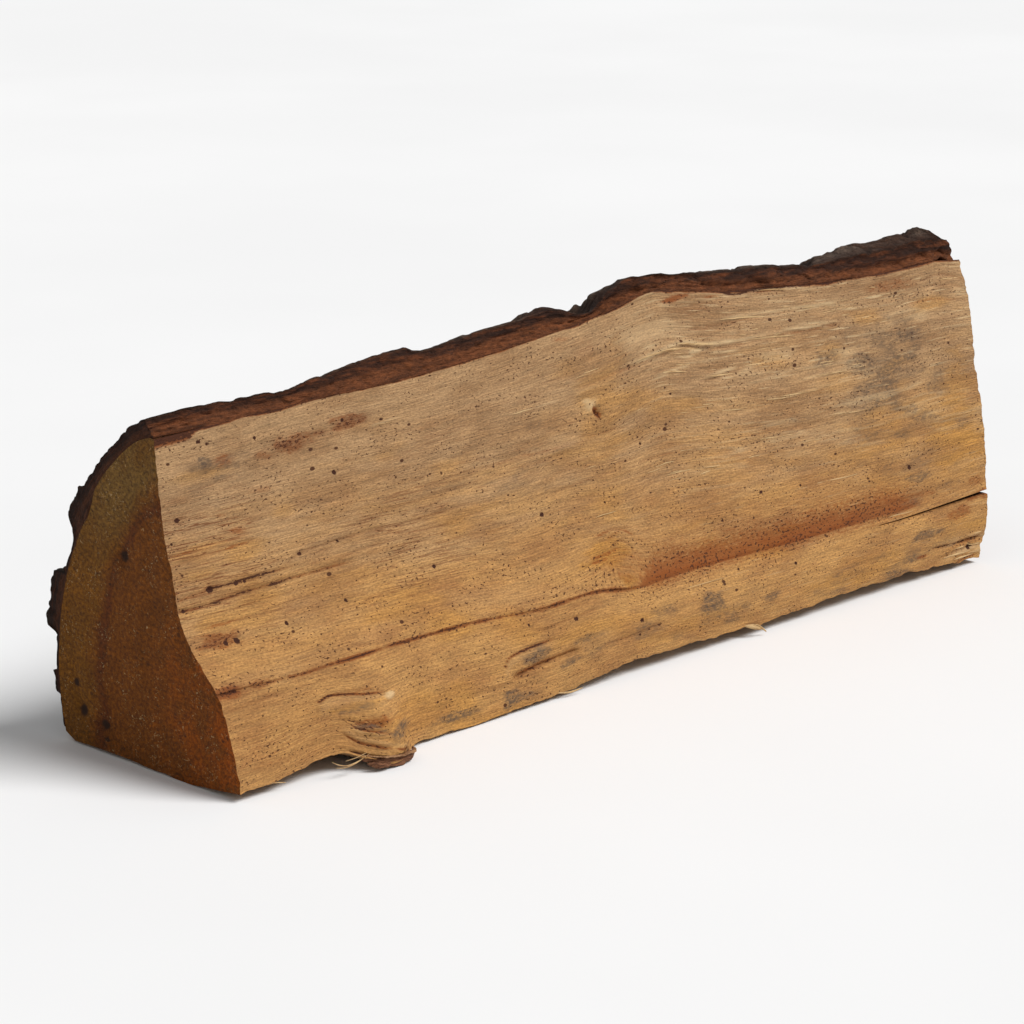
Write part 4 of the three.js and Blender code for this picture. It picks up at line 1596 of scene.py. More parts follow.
@dataclass
class TornFlap:
    """The shaving under the knot stub: bent, ragged strips of inner bark that open below a slit."""

    trunk: Trunk
    around: int = 28

    def strips(self) -> list[Strand]:
        """A thin lip along the slit, the cupped body below it, and the crumbs where the body tore.

        Returns:
            The strips.
        """
        lip = ((-124.5, -5.4, 5.0), (-120, -8.4, 4.1), (-115, -9.5, 3.5), (-110, -9.2, 3.2),
               (-106.5, -7.4, 2.8), (-104.5, -5.0, 2.4))
        body = ((-124, -5.2, 3.4), (-120, -8.0, 2.5), (-115, -9.0, 2.0), (-110.5, -8.8, 1.8),
                (-106.5, -6.8, 1.8), (-104.5, -4.6, 2.0))
        crumb = ((-123.6, -6.6, 2.9), (-121, -8.6, 2.0), (-118, -9.4, 1.6))
        return [Strand(lip, 0.5, 1.5, 80), Strand(body, 3.0, 0.9, 110), Strand(crumb, 1.6, 1.0, 40)]

    def build(self, finishes: tuple[Material, Material]) -> Object:
        """All strips as one mesh of closed shapes, each ruffled by noise along it and kept off the floor.

        Args:
            finishes: the lip's lighter material, fresh torn wood with a painted highlight along the flap's
                upper edge, and the others'.

        Returns:
            The object.
        """
        tubes = []
        for number, strip in enumerate(self.strips()):
            p, quads, fans = strip.tube(self.around)
            ruffle = Field(171 + number).fractal(p[:, 0] / 1.5, p[:, 2] / 3, 4, 0.6)
            p[:, 2] = np.maximum(p[:, 2] + 0.5 * ruffle, 0.02 + 0.1 * np.abs(ruffle))
            p[:, 1] += 0.5 * Field(181 + number).fractal(p[:, 0] / 4, p[:, 2] / 0.7, 3, 0.6)
            tubes.append((p, quads, fans, p[:, 2] * 2.0 + 40 * number, min(number, 1)))
        return join_tubes("torn_flap", tubes, finishes, self.trunk)


# ---- Finishes --------------------------------------------------------------------------------------------


def tint(red: int, green: int, blue: int) -> Colour:
    """A screen colour as the linear colour that a shader takes.

    Each part is divided by 12.92 near black, and elsewhere it is offset, scaled and raised to the power 2.4.

    Args:
        red, green, blue: the screen colour's parts, from 0 to 255.

    Returns:
        The linear colour, with an alpha of 1.
    """
    parts = np.array([red, green, blue]) / 255.0
    linear = np.where(parts <= 0.04045, parts / 12.92, ((parts + 0.055) / 1.055) ** 2.4)
    return (float(linear[0]), float(linear[1]), float(linear[2]), 1.0)


class Tree:
    """A node tree under construction, with short ways to add and join its nodes."""

    def __init__(self, tree: bpy.types.NodeTree) -> None:
        """Start with an empty tree."""
        self.tree = tree
        self.tree.nodes.clear()

    def node(self, kind: str, inputs: Optional[dict] = None, **settings) -> bpy.types.Node:
        """Add a node, set its own settings, and set or join its inputs.

        Args:
            kind: the node's type name.
            inputs: a socket or a value for each input, by name or number.
            settings: attributes of the node itself.

        Returns:
            The new node.
        """
        made = self.tree.nodes.new(kind)
        for key, value in settings.items():
            setattr(made, key, value)
        for key, value in (inputs or {}).items():
            if isinstance(value, Socket):
                self.tree.links.new(value, made.inputs[key])
            else:
                made.inputs[key].default_value = value
        return made

    def math(self, operation: str, *values: Value) -> Socket:
        """The result of one operation on numbers or sockets."""
        return self.node("ShaderNodeMath", dict(enumerate(values)), operation=operation).outputs[0]

    def plus(self, *values: Value) -> Socket:
        """The sum of two or more numbers or sockets."""
        return reduce(lambda a, b: self.math("ADD", a, b), values)

    def times(self, *values: Value) -> Socket:
        """The product of two or more numbers or sockets."""
        return reduce(lambda a, b: self.math("MULTIPLY", a, b), values)

    def vector(self, operation: str, inputs: dict, output: str = "Vector") -> Socket:
        """The result of one operation on vectors."""
        return self.node("ShaderNodeVectorMath", inputs, operation=operation).outputs[output]

    def part(self, vector: Socket, number: int) -> Socket:
        """One part of a vector, by its number."""
        return self.node("ShaderNodeSeparateXYZ", {0: vector}).outputs[number]

    def join(self, *parts: Value) -> Socket:
        """The vector with these parts."""
        return self.node("ShaderNodeCombineXYZ", dict(enumerate(parts))).outputs[0]

    def blend(self, share: Value, a: Tone, b: Tone, mode: str = "MIX") -> Socket:
        """Two colours mixed by a share."""
        return self.node("ShaderNodeMix", {0: share, 6: a, 7: b}, data_type="RGBA", blend_type=mode).outputs[2]

    def window(self, value: Value, low: float, high: float, out_low: float = 0.0,
               out_high: float = 1.0) -> Socket:
        """A value carried smoothly from one range to another, and held at its ends."""
        ends = {0: value, 1: low, 2: high, 3: out_low, 4: out_high}
        return self.node("ShaderNodeMapRange", ends, interpolation_type="SMOOTHSTEP").outputs[0]

    def noise(self, vector: Socket, scale: float, detail: float = 3.0, rough: float = 0.55,
              distort: float = 0.0) -> Socket:
        """Smooth noise from 0 to 1 at a vector."""
        return self.node("ShaderNodeTexNoise", {"Vector": vector, "Scale": scale, "Detail": detail,
                                                "Roughness": rough, "Distortion": distort}).outputs[0]

    def stretched(self, vector: Socket, along: float, across: float, third: float = 1.0) -> Socket:
        """A vector with each part divided by a length, so that noise on it is that long."""
        return self.node("ShaderNodeMapping", {0: vector, 3: (1 / along, 1 / across, 1 / third)}).outputs[0]

    def fibres(self, grain: Socket, along: float, across: float, detail: float = 3.0,
               rough: float = 0.55) -> Socket:
        """Noise whose grains are so many millimetres long along the fibres and across them."""
        return self.noise(self.stretched(grain, along, across, across), 1, detail, rough)

    def attribute(self, name: str) -> Socket:
        """A value stored on the mesh's points."""
        return self.node("ShaderNodeAttribute", attribute_name=name).outputs["Fac"]

    def grain(self) -> Socket:
        """The grain's own coordinates in millimetres, stored on the mesh's points."""
        return self.node("ShaderNodeAttribute", attribute_name="grain").outputs["Vector"]

    def place(self) -> Socket:
        """The object's own coordinates in millimetres."""
        return self.vector("SCALE", {0: self.node("ShaderNodeTexCoord").outputs["Object"], 3: 1 / MM})


@dataclass
class Coat:
    """A colour that is built up in layers over a surface."""

    tree: Tree
    colour: Socket

    def lay(self, share: Value, over: Tone) -> None:
        """Cover a share of the colour with another."""
        self.colour = self.tree.blend(share, self.colour, over)

    def shade(self, factor: Socket) -> None:
        """Multiply every part of the colour by a factor."""
        grey = self.tree.node("ShaderNodeCombineColor", {0: factor, 1: factor, 2: factor}).outputs[0]
        self.colour = self.tree.blend(1.0, self.colour, grey, "MULTIPLY")

    def finish(self, material: Material, rough: Value, height: Socket, bump: float,
               distance: float) -> Material:
        """Join the colour, a roughness and a bump to a Principled surface, and that to the output.

        Args:
            material: the material that the tree belongs to.
            rough: the roughness.
            height: the bump's height.
            bump: the bump's strength.
            distance: how many metres one unit of height is.

        Returns:
            The material.
        """
        normal = self.tree.node("ShaderNodeBump", {"Strength": bump, "Distance": distance, "Height": height})
        surface = self.tree.node("ShaderNodeBsdfPrincipled", {
            "Base Color": self.colour, "Roughness": rough, "Normal": normal.outputs[0],
            "Specular IOR Level": 0.25})
        self.tree.node("ShaderNodeOutputMaterial", {"Surface": surface.outputs[0]})
        return material


def new_group(name: str, numbers: dict[str, float],
              outputs: Sequence[str]) -> tuple[bpy.types.NodeTree, Tree, dict[str, Socket], bpy.types.Node]:
    """A shader node group that reads the grain's coordinates and some numbers, and puts out numbers.

    Args:
        name: the group's name.
        numbers: each number that it takes, with its default value.
        outputs: the names of the outputs.

    Returns:
        The group, its tree, its inputs by name, and its output node.
    """
    group = bpy.data.node_groups.new(name, "ShaderNodeTree")
    group.interface.new_socket("Grain", in_out="INPUT", socket_type="NodeSocketVector")
    for key, value in numbers.items():
        group.interface.new_socket(key, in_out="INPUT", socket_type="NodeSocketFloat").default_value = value
    for key in outputs:
        group.interface.new_socket(key, in_out="OUTPUT", socket_type="NodeSocketFloat")
    tree = Tree(group)
    entry = tree.node("NodeGroupInput")
    return group, tree, {key: entry.outputs[key] for key in ("Grain", *numbers)}, tree.node("NodeGroupOutput")


def fibre_streaks_group() -> bpy.types.NodeTree:
    """Streaks along the grain: broad bands, middling streaks and fine fibres, each from 0 to 1.

    Returns:
        The group.
    """
    sizes = {"Broad": (60.0, 9.0, 3.0), "Middle": (24.0, 1.5, 4.0), "Fine": (6.5, 0.34, 3.0)}
    group, tree, entry, leave = new_group("fibre_streaks", {}, tuple(sizes))
    for key, size in sizes.items():
        tree.tree.links.new(tree.fibres(entry["Grain"], *size, 0.62), leave.inputs[key])
    return group


def pin_specks_group() -> bpy.types.NodeTree:
    """Small dark specks, strung along the grain, that come in drifts: 1 on a speck.

    Each Voronoi cell holds one speck, whose radius is the amount wanted there less the cell's random number.

    Returns:
        The group.
    """
    group, tree, entry, leave = new_group("pin_specks", {"Spacing": 2.0, "Amount": 0.5}, ("Mask",))
    spaced = tree.vector("DIVIDE", {0: entry["Grain"], 1: entry["Spacing"]})
    cells = tree.node("ShaderNodeTexVoronoi", {
        "Vector": tree.stretched(spaced, 1.5, 1.0), "Scale": 1.0, "Randomness": 1.0}).outputs
    chance = tree.node("ShaderNodeSeparateColor", {0: cells["Color"]}).outputs[0]
    drift = tree.window(tree.fibres(entry["Grain"], 26, 7), 0.35, 0.68)
    wanted = tree.times(entry["Amount"], tree.plus(drift, 0.25))
    size = tree.times(tree.math("SUBTRACT", wanted, chance), 0.42)
    inside = tree.math("SUBTRACT", size, cells["Distance"])
    tree.tree.links.new(tree.window(inside, -0.03, 0.05), leave.inputs["Mask"])
    return group


@dataclass(frozen=True)
class Shared:
    """The node groups that more than one finish uses."""

    streaks: bpy.types.NodeTree
    specks: bpy.types.NodeTree

    @classmethod
    def build(cls) -> "Shared":
        """Make each group once."""
        return cls(fibre_streaks_group(), pin_specks_group())

    def use_streaks(self, tree: Tree, grain: Socket) -> tuple[Socket, Socket, Socket]:
        """The broad, middling and fine streaks, placed in a material."""
        return tuple(tree.node("ShaderNodeGroup", {"Grain": grain}, node_tree=self.streaks).outputs)

    def use_specks(self, tree: Tree, grain: Socket, spacing: float, amount: float) -> Socket:
        """The specks, placed in a material."""
        inputs = {"Grain": grain, "Spacing": spacing, "Amount": amount}
        return tree.node("ShaderNodeGroup", inputs, node_tree=self.specks).outputs["Mask"]


def new_material(name: str) -> tuple[Material, Tree]:
    """An empty node material and its tree.

    Args:
        name: the material's name.

    Returns:
        Both.
    """
    material = bpy.data.materials.new(name)
    material.use_nodes = True
    return material, Tree(material.node_tree)


@dataclass(frozen=True)
class SplitGrain:
    """Bare split wood: tan above, golden towards the seam, streaked and specked along the grain."""

    shared: Shared
    light: Colour = tint(172, 136, 96)
    dull: Colour = tint(150, 114, 77)
    gold: Colour = tint(181, 135, 79)
    deep: Colour = tint(160, 114, 66)
    rust_and_shade: Colour = tint(126, 60, 8)
    mould: Colour = tint(80, 66, 55)
    dark: Colour = tint(60, 28, 12)
    pale: Colour = tint(214, 186, 142)
    ochre: Colour = tint(178, 124, 48)
    speck: Colour = tint(70, 36, 16)
    check: Colour = tint(108, 60, 30)

    def build(self) -> Material:
        """Lay streaks, fine lines, stains, specks and dark marks over bare wood, in that order.

        Returns:
            The material.
        """
        material, tree = new_material("split_grain")
        grain = tree.grain()
        broad, middle, fine = self.shared.use_streaks(tree, grain)
        grit = tree.fibres(grain, 0.95, 0.5, 2, 0.6)
        wood = self.bare(tree, grain, broad)
        wood.shade(tree.times(
            tree.window(middle, 0.30, 0.70, 0.88, 1.08), tree.window(fine, 0.28, 0.72, 0.74, 1.21),
            tree.window(grit, 0.3, 0.7, 0.78, 1.18)))
        self.lines(wood, grain)
        crumbs = tree.times(tree.math("SUBTRACT", tree.fibres(grain, 1.6, 0.7, 3, 0.7), 0.5), 1.3)
        rust_and_shade_share = self.stains(wood, grain, crumbs, middle)
        specked = self.specks(wood, grain, rust_and_shade_share)
        self.darken(wood, crumbs)
        height = tree.plus(tree.times(fine, 0.8), middle, tree.times(grit, 0.4), tree.times(specked, -0.6))
        return wood.finish(material, tree.window(fine, 0.2, 0.8, 0.72, 0.9), height, 0.6, 0.0005)

    def bare(self, tree: Tree, grain: Socket, broad: Socket) -> Coat:
        """Clean wood, which turns from tan to golden down the face, clouded and with ochre patches.

        Args:
            tree: the material's tree.
            grain: the grain's coordinates.
            broad: the broad streaks, which make the turn uneven.

        Returns:
            The coat to lay the rest on.
        """
        cloud = tree.fibres(grain, 30, 11, 5, 0.62)
        clouded = tree.window(cloud, 0.34, 0.62)
        height = tree.plus(tree.part(grain, 1), tree.window(broad, 0.3, 0.7, -14, 14))
        upper = tree.blend(clouded, self.dull, self.light)
        lower = tree.blend(clouded, self.deep, self.gold)
        wood = Coat(tree, tree.blend(tree.window(height, 62, -4), upper, lower))
        patches = tree.times(tree.attribute(Stain.OCHRE.value), tree.window(cloud, 0.3, 0.6, 0.4, 0.8))
        wood.lay(patches, self.ochre)
        return wood

    def lines(self, wood: Coat, grain: Socket) -> None:
        """Fine dark checks where one noise crosses its middle, and pale silky fibres, a painted sheen, where
        another is high.

        Args:
            wood: the coat so far.
            grain: the grain's coordinates.
        """
        tree = wood.tree
        hair = tree.math("ABSOLUTE", tree.math("SUBTRACT", tree.fibres(grain, 34, 1.5), 0.5))
        lined = tree.window(tree.attribute(Stain.LINED.value), 0, 1, 0.12, 1.1)
        wood.lay(tree.times(tree.window(hair, 0.030, 0.004), lined), self.check)
        # Painted sheen: pale silky fibres high on the face, towards +X.
        painted_sheen = tree.window(tree.fibres(grain, 14, 0.8, 2, 0.5), 0.60, 0.72)
        high = tree.window(tree.part(grain, 1), 30, 60, 0.2, 0.7)
        far = tree.window(tree.part(grain, 0), -20, 50, 0, 0.8)
        wood.lay(tree.times(painted_sheen, high, far), self.pale)

    def stains(self, wood: Coat, grain: Socket, crumbs: Socket, middle: Socket) -> Socket:
        """Rust with painted shadow in the same colour, and mould, each partly broken into crumbs and partly
        smooth, and pale torn wood with painted highlights.

        Args:
            wood: the coat so far.
            grain: the grain's coordinates.
            crumbs: fine noise about 0.
            middle: the middling streaks, which thin the rust.

        Returns:
            How much rusting and painted shadow each place has.
        """
        tree = wood.tree
        rust_and_shade, mould = tree.attribute(Stain.RUST_AND_SHADE.value), tree.attribute(Stain.MOULD.value)
        rust_and_shade_share = tree.times(tree.window(tree.plus(rust_and_shade, crumbs), 0.30, 0.75), 0.55)
        rust_and_shade_share = tree.times(tree.plus(rust_and_shade_share, tree.times(rust_and_shade, 0.45)), tree.window(middle, 0.2, 0.6, 0.75, 1))
        wood.lay(tree.times(rust_and_shade_share, 0.9), self.rust_and_shade)
        spores = tree.window(tree.fibres(grain, 1.9, 0.9, 3, 0.7), 0.36, 0.60, 0.30, 1)
        clots = tree.times(tree.math("SUBTRACT", tree.fibres(grain, 5, 2.4, 4, 0.65), 0.5), 1.5)
        mouldy = tree.times(tree.window(tree.plus(mould, clots), 0.20, 0.95), 0.5)
        wood.lay(tree.times(tree.plus(mouldy, tree.times(mould, 0.48)), spores, 0.88), self.mould)
        wood.lay(tree.times(tree.attribute(Stain.PALE.value), 0.75), self.pale)
        return rust_and_shade_share

    def specks(self, wood: Coat, grain: Socket, rust_and_shade_share: Socket) -> Socket:
        """Fine pepper that drifts, thickest on rusted and shaded places, and larger specks.

        Args:
            wood: the coat so far.
            grain: the grain's coordinates.
            rust_and_shade_share: how much rusting and painted shadow each place has.

        Returns:
            How specked each place is.
        """
        tree = wood.tree
        drift = tree.window(tree.fibres(grain, 20, 7), 0.38, 0.64, -0.028, 0.068)
        pepper = tree.plus(tree.fibres(grain, 1.05, 0.72, 1, 0.5), drift, tree.times(rust_and_shade_share, 0.10))
        large = self.shared.use_specks(tree, grain, 3.0, 0.45)
        fine = tree.times(tree.window(pepper, 0.685, 0.74), 0.9)
        specked = tree.math("MAXIMUM", fine, tree.times(large, 0.95))
        wood.lay(specked, self.speck)
        return specked

    def darken(self, wood: Coat, crumbs: Socket) -> None:
        """Dark marks with crisp crumbled edges, some of them painted shade, and the beetle holes, painted dark
        as their shade.

        Args:
            wood: the coat so far.
            crumbs: fine noise about 0.
        """
        tree = wood.tree
        dark = tree.attribute(Stain.DARK.value)
        crisp = tree.window(tree.plus(dark, crumbs), 0.40, 0.62)
        dark = tree.math("MAXIMUM", tree.times(crisp, 0.92), tree.times(dark, 0.5))
        # Painted shade: the beetle holes are painted dark.
        spot = tree.plus(tree.attribute(Stain.SPOT.value), tree.times(crumbs, 0.25))
        wood.lay(tree.math("MAXIMUM", dark, tree.window(spot, 0.60, 0.70)), self.dark)


@dataclass(frozen=True)
class SawnEnd:
    """End grain: rings round the pith, a dark band, paler sapwood outside it and fine pores all over."""

    shared: Shared
    trunk: Trunk
    heart: Colour = tint(112, 61, 8)
    toe: Colour = tint(134, 64, 2)
    sap: Colour = tint(116, 71, 12)
    grey: Colour = tint(110, 82, 38)
    band: Colour = tint(82, 38, 10)
    pore: Colour = tint(46, 26, 14)
    fuzz: Colour = tint(190, 160, 116)
    band_radius: float = 71.0

    def build(self) -> Material:
        """Colour by the distance from the pith, bent by noise, with pores, worm holes and pale fuzz on top.

        Returns:
            The material.
        """
        material, tree = new_material("sawn_end")
        _, back, up = self.trunk.shift
        pith = (0.0, -PITH_Y - back, -PITH_Z - up)
        centred = tree.node("ShaderNodeMapping", {0: tree.place(), 1: pith}).outputs[0]
        far, y, z = (tree.part(centred, number) for number in range(3))
        flat = tree.join(y, z, 0.0)
        near_end = tree.window(far, 0, -0.1)
        radius = tree.vector("LENGTH", {0: flat}, "Value")
        bent = tree.plus(radius, tree.window(tree.noise(flat, 0.05), 0.2, 0.8, -4, 4))
        cloud = tree.noise(flat, 0.09, 4, 0.6)
        wood = self.zones(tree, bent, cloud, near_end, z)
        rings = tree.math("SINE", tree.times(bent, 2.4))
        turn = tree.times(tree.math("ARCTAN2", z, y), 60.0)
        rays = tree.noise(tree.join(tree.times(radius, 0.10), turn, 0), 1)
        grit = tree.noise(flat, 0.9, 3, 0.8)
        wood.shade(tree.times(
            tree.window(rings, -1, 1, 0.93, 1.04), tree.window(rays, 0.3, 0.7, 0.88, 1.08),
            tree.window(grit, 0.34, 0.66, 0.55, 1.42), tree.window(cloud, 0.3, 0.7, 0.84, 1.08)))
        for spacing, amount, share in ((1.3, 0.8, 0.55), (5.0, 0.4, 0.9)):
            wood.lay(tree.times(self.shared.use_specks(tree, flat, spacing, amount), share), self.pore)
        wisps = tree.window(tree.noise(flat, 0.55, 2, 0.5, 3), 0.62, 0.70)
        wood.lay(tree.times(wisps, tree.window(tree.noise(flat, 0.12), 0.40, 0.60), 0.6), self.fuzz)
        # Painted shade: a dark disc in each worm hole's pit.
        for hole_y, hole_z, _, size in WORM_HOLES:
            hole = (hole_y - PITH_Y, hole_z - PITH_Z, 0.0)
            gap = tree.vector("DISTANCE", {0: flat, 1: hole}, "Value")
            wood.lay(tree.times(near_end, tree.window(gap, 1.5 * size, 0.6 * size)), self.pore)
        return wood.finish(material, 0.88, tree.plus(grit, tree.times(rays, 0.5)), 0.7, 0.0006)

    def zones(self, tree: Tree, bent: Socket, cloud: Socket, near_end: Socket, height: Socket) -> Coat:
        """Heartwood that reddens towards the toe, greyer sapwood high up outside it, and a dark band between.

        Args:
            tree: the material's tree.
            bent: the distance from the pith, bent by noise.
            cloud: broad noise.
            near_end: 1 at the -X end and 0 at the other, where the red is weaker.
            height: the height above the pith.

        Returns:
            The coat to lay the rest on.
        """
        reddening = tree.times(tree.window(bent, 56, 20), tree.window(cloud, 0.36, 0.66, 0.1, 1),
                          tree.window(near_end, 0, 1, 0.4, 1))
        grey = tree.times(tree.window(height, 24, 62), tree.window(cloud, 0.3, 0.6, 0.3, 0.8))
        wood = Coat(tree, tree.blend(reddening, self.heart, self.toe))
        outside = tree.window(bent, self.band_radius, self.band_radius + 7)
        wood.lay(outside, tree.blend(grey, self.sap, self.grey))
        gap = tree.math("ABSOLUTE", tree.math("SUBTRACT", bent, self.band_radius))
        wood.lay(tree.times(tree.window(gap, 3, 0.3), tree.window(cloud, 0.25, 0.6, 0.25, 0.75)), self.band)
        return wood


@dataclass(frozen=True)
class BarkSkin:
    """Bark: weathered grey-brown plates over red-brown fissures, and a red-brown layered broken edge."""

    shared: Shared
    weathered: Colour = tint(112, 95, 82)
    brown: Colour = tint(82, 58, 43)
    fissure: Colour = tint(36, 21, 15)
    broken_light: Colour = tint(102, 55, 28)
    broken_dark: Colour = tint(52, 28, 16)
    inner: Colour = tint(120, 69, 38)
    lichen: Colour = tint(128, 122, 108)

    def build(self) -> Material:
        """Choose between the weathered skin and the broken edge, and darken the fissures.

        Returns:
            The material.
        """
        material, tree = new_material("bark_skin")
        grain = tree.grain()
        _, middle, fine = self.shared.use_streaks(tree, grain)
        layers = tree.noise(tree.stretched(grain, 12, 2.4, 2.2), 1, 5, 0.62)
        crumbs = tree.fibres(grain, 2.2, 1.3, 4, 0.7)
        bark = self.skin(tree, grain)
        bark.lay(tree.attribute("broken"), self.edge(tree, layers).colour)
        bark.shade(tree.times(
            tree.window(fine, 0.25, 0.75, 0.84, 1.12), tree.window(middle, 0.3, 0.7, 0.86, 1.10)))
        bark.shade(tree.window(crumbs, 0.30, 0.70, 0.62, 1.38))
        height = tree.plus(fine, middle, layers, tree.times(crumbs, 1.6))
        return bark.finish(material, 0.92, height, 0.9, 0.0009)

    def skin(self, tree: Tree, grain: Socket) -> Coat:
        """The weathered outside: each plate has its own tone, with lichen on it and dark fissures round it.

        Args:
            tree: the material's tree.
            grain: the grain's coordinates.

        Returns:
            The skin's coat.
        """
        tone = tree.plus(tree.times(tree.attribute("plate"), 0.35), tree.fibres(grain, 9, 5, 4, 0.65))
        skin = Coat(tree, tree.blend(tree.window(tone, 0.45, 0.80), self.brown, self.weathered))
        lichen = tree.window(tree.fibres(grain, 16, 11, 5, 0.7), 0.60, 0.68)
        skin.lay(tree.times(lichen, 0.45), self.lichen)
        skin.lay(tree.times(tree.attribute("fissure"), 0.85), self.fissure)
        skin.lay(tree.times(tree.attribute("worn"), 0.85), self.broken_dark)
        return skin

    def edge(self, tree: Tree, layers: Socket) -> Coat:
        """The broken edge: red-brown layers, lighter towards the inner side.

        Args:
            tree: the material's tree.
            layers: noise that is long along the bark's layers.

        Returns:
            The edge's coat.
        """
        edge = Coat(tree, tree.blend(tree.window(layers, 0.40, 0.70), self.broken_dark, self.broken_light))
        low = tree.window(tree.attribute("layer"), 0.35, 0.7)
        edge.lay(tree.times(low, tree.window(layers, 0.3, 0.55, 0.35, 0.85)), self.inner)
        edge.lay(tree.times(tree.attribute("fissure"), 0.7), self.fissure)
        return edge


@dataclass(frozen=True)
class TornFibre:
    """Fresh torn wood or inner bark: one colour with darker streaks along each strand."""

    shared: Shared
    name: str
    light: Colour
    dark: Colour

    def build(self) -> Material:
        """Two tones mixed by the streaks along the grain.

        Returns:
            The material.
        """
        material, tree = new_material(self.name)
        _, middle, fine = self.shared.use_streaks(tree, tree.grain())
        share = tree.window(tree.times(tree.plus(fine, middle), 0.5), 0.36, 0.62)
        return Coat(tree, tree.blend(share, self.dark, self.light)).finish(material, 0.85, fine, 0.5, 0.0003)


@dataclass(frozen=True)
class PaleFloor:
    """A plain pale floor with the faintest unevenness."""

    light: Colour = tint(244, 244, 244)
    dull: Colour = tint(240, 240, 240)

    def build(self) -> Material:
        """Two near whites mixed by broad noise.

        Returns:
            The material.
        """
        material, tree = new_material("pale_floor")
        cloud = tree.noise(tree.node("ShaderNodeTexCoord").outputs["Object"], 3)
        colour = tree.blend(tree.window(cloud, 0.3, 0.7), self.dull, self.light)
        return Coat(tree, colour).finish(material, 0.9, cloud, 0.05, 0.001)


# ---- The studio ------------------------------------------------------------------------------------------


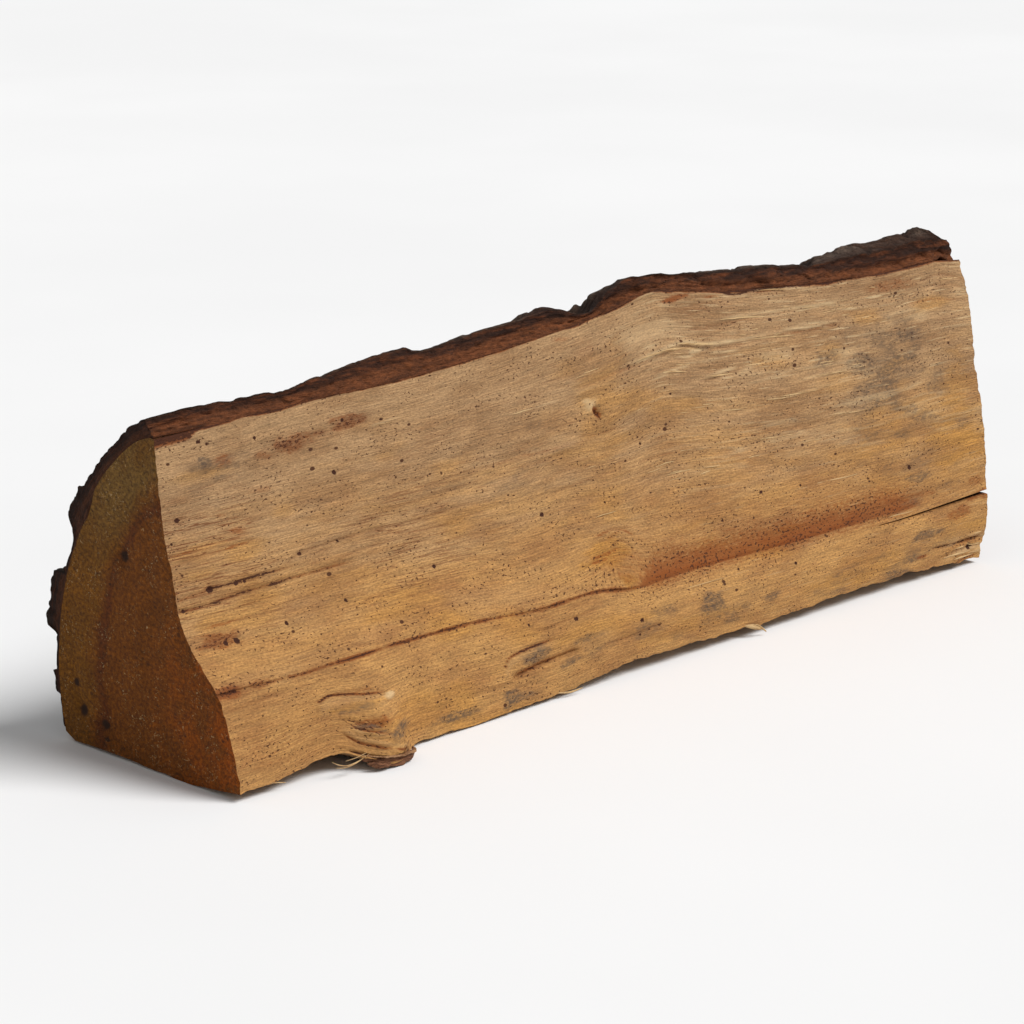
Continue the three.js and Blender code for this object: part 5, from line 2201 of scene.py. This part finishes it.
@dataclass
class Studio:
    """The floor, the lights and the camera."""

    trunk: Trunk
    azimuth: float = -45.3735
    elevation: float = 15.399
    distance: float = 1063.275
    slide: tuple[float, float] = (-42.076, 45.637)
    datum_z: float = 2.5
    lens: float = 123.05
    floor_half: float = 9000.0

    def floor(self) -> Object:
        """A large flat floor just under the log.

        Returns:
            The floor.
        """
        low_z = CAD_BOX[0][2] / MM - self.trunk.shift[2]
        half = self.floor_half
        step = np.linspace(-half, half, 5)
        gx, gy = np.meshgrid(step, step, indexing="ij")
        points = np.stack([gx, gy, np.full_like(gx, low_z)], axis=-1).reshape(-1, 3)
        i, j = np.meshgrid(np.arange(4), np.arange(4), indexing="ij")
        a = (i * 5 + j).ravel()
        faces = np.stack([a, a + 5, a + 6, a + 1], axis=-1)
        made = make_object("floor", MeshData(points, [(faces, 0)]), (PaleFloor().build(),), self.trunk)
        return made

    def axes(self) -> tuple[Array, Array, Array]:
        """The camera's right, up and backward directions for its azimuth and elevation.

        Returns:
            The three directions.
        """
        az, el = math.radians(self.azimuth), math.radians(self.elevation)
        back = np.array([math.sin(az) * math.cos(el), -math.cos(az) * math.cos(el), math.sin(el)])
        right = np.array([math.cos(az), math.sin(az), 0.0])
        return right, np.cross(back, right), back

    def camera(self) -> Object:
        """A long lens, set back along the view direction and slid to frame the log.

        Returns:
            The camera.
        """
        right, up, back = self.axes()
        place = back * self.distance + right * self.slide[0] + up * self.slide[1]
        place = self.trunk.place(place + np.array([0.0, 0.0, self.datum_z]))
        data = bpy.data.cameras.new("camera")
        data.lens = self.lens
        data.sensor_width = 36.0
        data.clip_end = 100.0
        camera = bpy.data.objects.new("camera", data)
        turn = Matrix(np.stack([right, up, back], axis=1).tolist()).to_4x4()
        camera.matrix_world = Matrix.Translation(Vector(place.tolist())) @ turn
        bpy.context.scene.collection.objects.link(camera)
        bpy.context.scene.camera = camera
        return camera

    def sun(self, name: str, azimuth: float, elevation: float, strength: float, spread: float) -> None:
        """A distant soft light in a direction, as wide in the sky as its spread in degrees.

        Args:
            name: its name.
            azimuth: degrees round from -Y.
            elevation: degrees above the floor.
            strength: its strength.
            spread: how wide it is, in degrees.
        """
        az, el = math.radians(azimuth), math.radians(elevation)
        direction = Vector((math.sin(az) * math.cos(el), -math.cos(az) * math.cos(el), math.sin(el)))
        data = bpy.data.lights.new(name, "SUN")
        data.energy = strength
        data.angle = math.radians(spread)
        light = bpy.data.objects.new(name, data)
        light.rotation_euler = direction.to_track_quat("Z", "Y").to_euler()
        bpy.context.scene.collection.objects.link(light)

    def lights(self) -> None:
        """A broad soft key from the right and above, and a pale sky all round."""
        self.sun("key", 32.0, 50.0, 3.0, 32.0)
        world = bpy.data.worlds.new("pale_sky")
        world.use_nodes = True
        world.node_tree.nodes["Background"].inputs[0].default_value = (1.0, 1.0, 1.0, 1.0)
        world.node_tree.nodes["Background"].inputs[1].default_value = 0.33
        bpy.context.scene.world = world
        bpy.context.scene.view_settings.view_transform = "Standard"

    def build(self) -> None:
        """Set up everything that isn't part of the log."""
        self.camera()
        self.lights()
        self.floor()


# ---- Build -----------------------------------------------------------------------------------------------


def attach(piece: Object, node: Optional[str] = None) -> None:
    """Make a piece ride on the log's one body and stand for a designed node.

    Args:
        piece: the piece.
        node: the designed node that it stands for, if any.
    """
    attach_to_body(piece, ROOT)
    if node is not None:
        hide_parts(node)
    log.info("%s rides on %s", piece.name, ROOT)


def main() -> None:
    """Build the studio and the log's pieces in order."""
    logging.basicConfig(level=logging.INFO, format="%(name)s: %(message)s")
    trunk = Trunk.from_frame()
    Studio(trunk).build()
    shared = Shared.build()
    wood = SplitWood(trunk)
    finishes = (SplitGrain(shared).build(), SawnEnd(shared, trunk).build())
    attach(wood.build(finishes), "split_wood")
    attach(Bark(trunk).build(BarkSkin(shared).build()), "bark")
    torn = TornFibre(shared, "torn_fibre", tint(206, 174, 126), tint(160, 122, 80))
    attach(LooseFibres(trunk, wood).build(torn.build()))
    # The lip's finish is lighter than the inner bark's: fresh torn wood, with a painted highlight along the
    # flap's upper edge.
    lip = TornFibre(shared, "torn_lip_highlit", tint(172, 134, 96), tint(112, 74, 48))
    inner_bark = TornFibre(shared, "inner_bark", tint(136, 92, 64), tint(66, 38, 26))
    attach(TornFlap(trunk).build((lip.build(), inner_bark.build())))


if __name__ == "__main__":
    main()
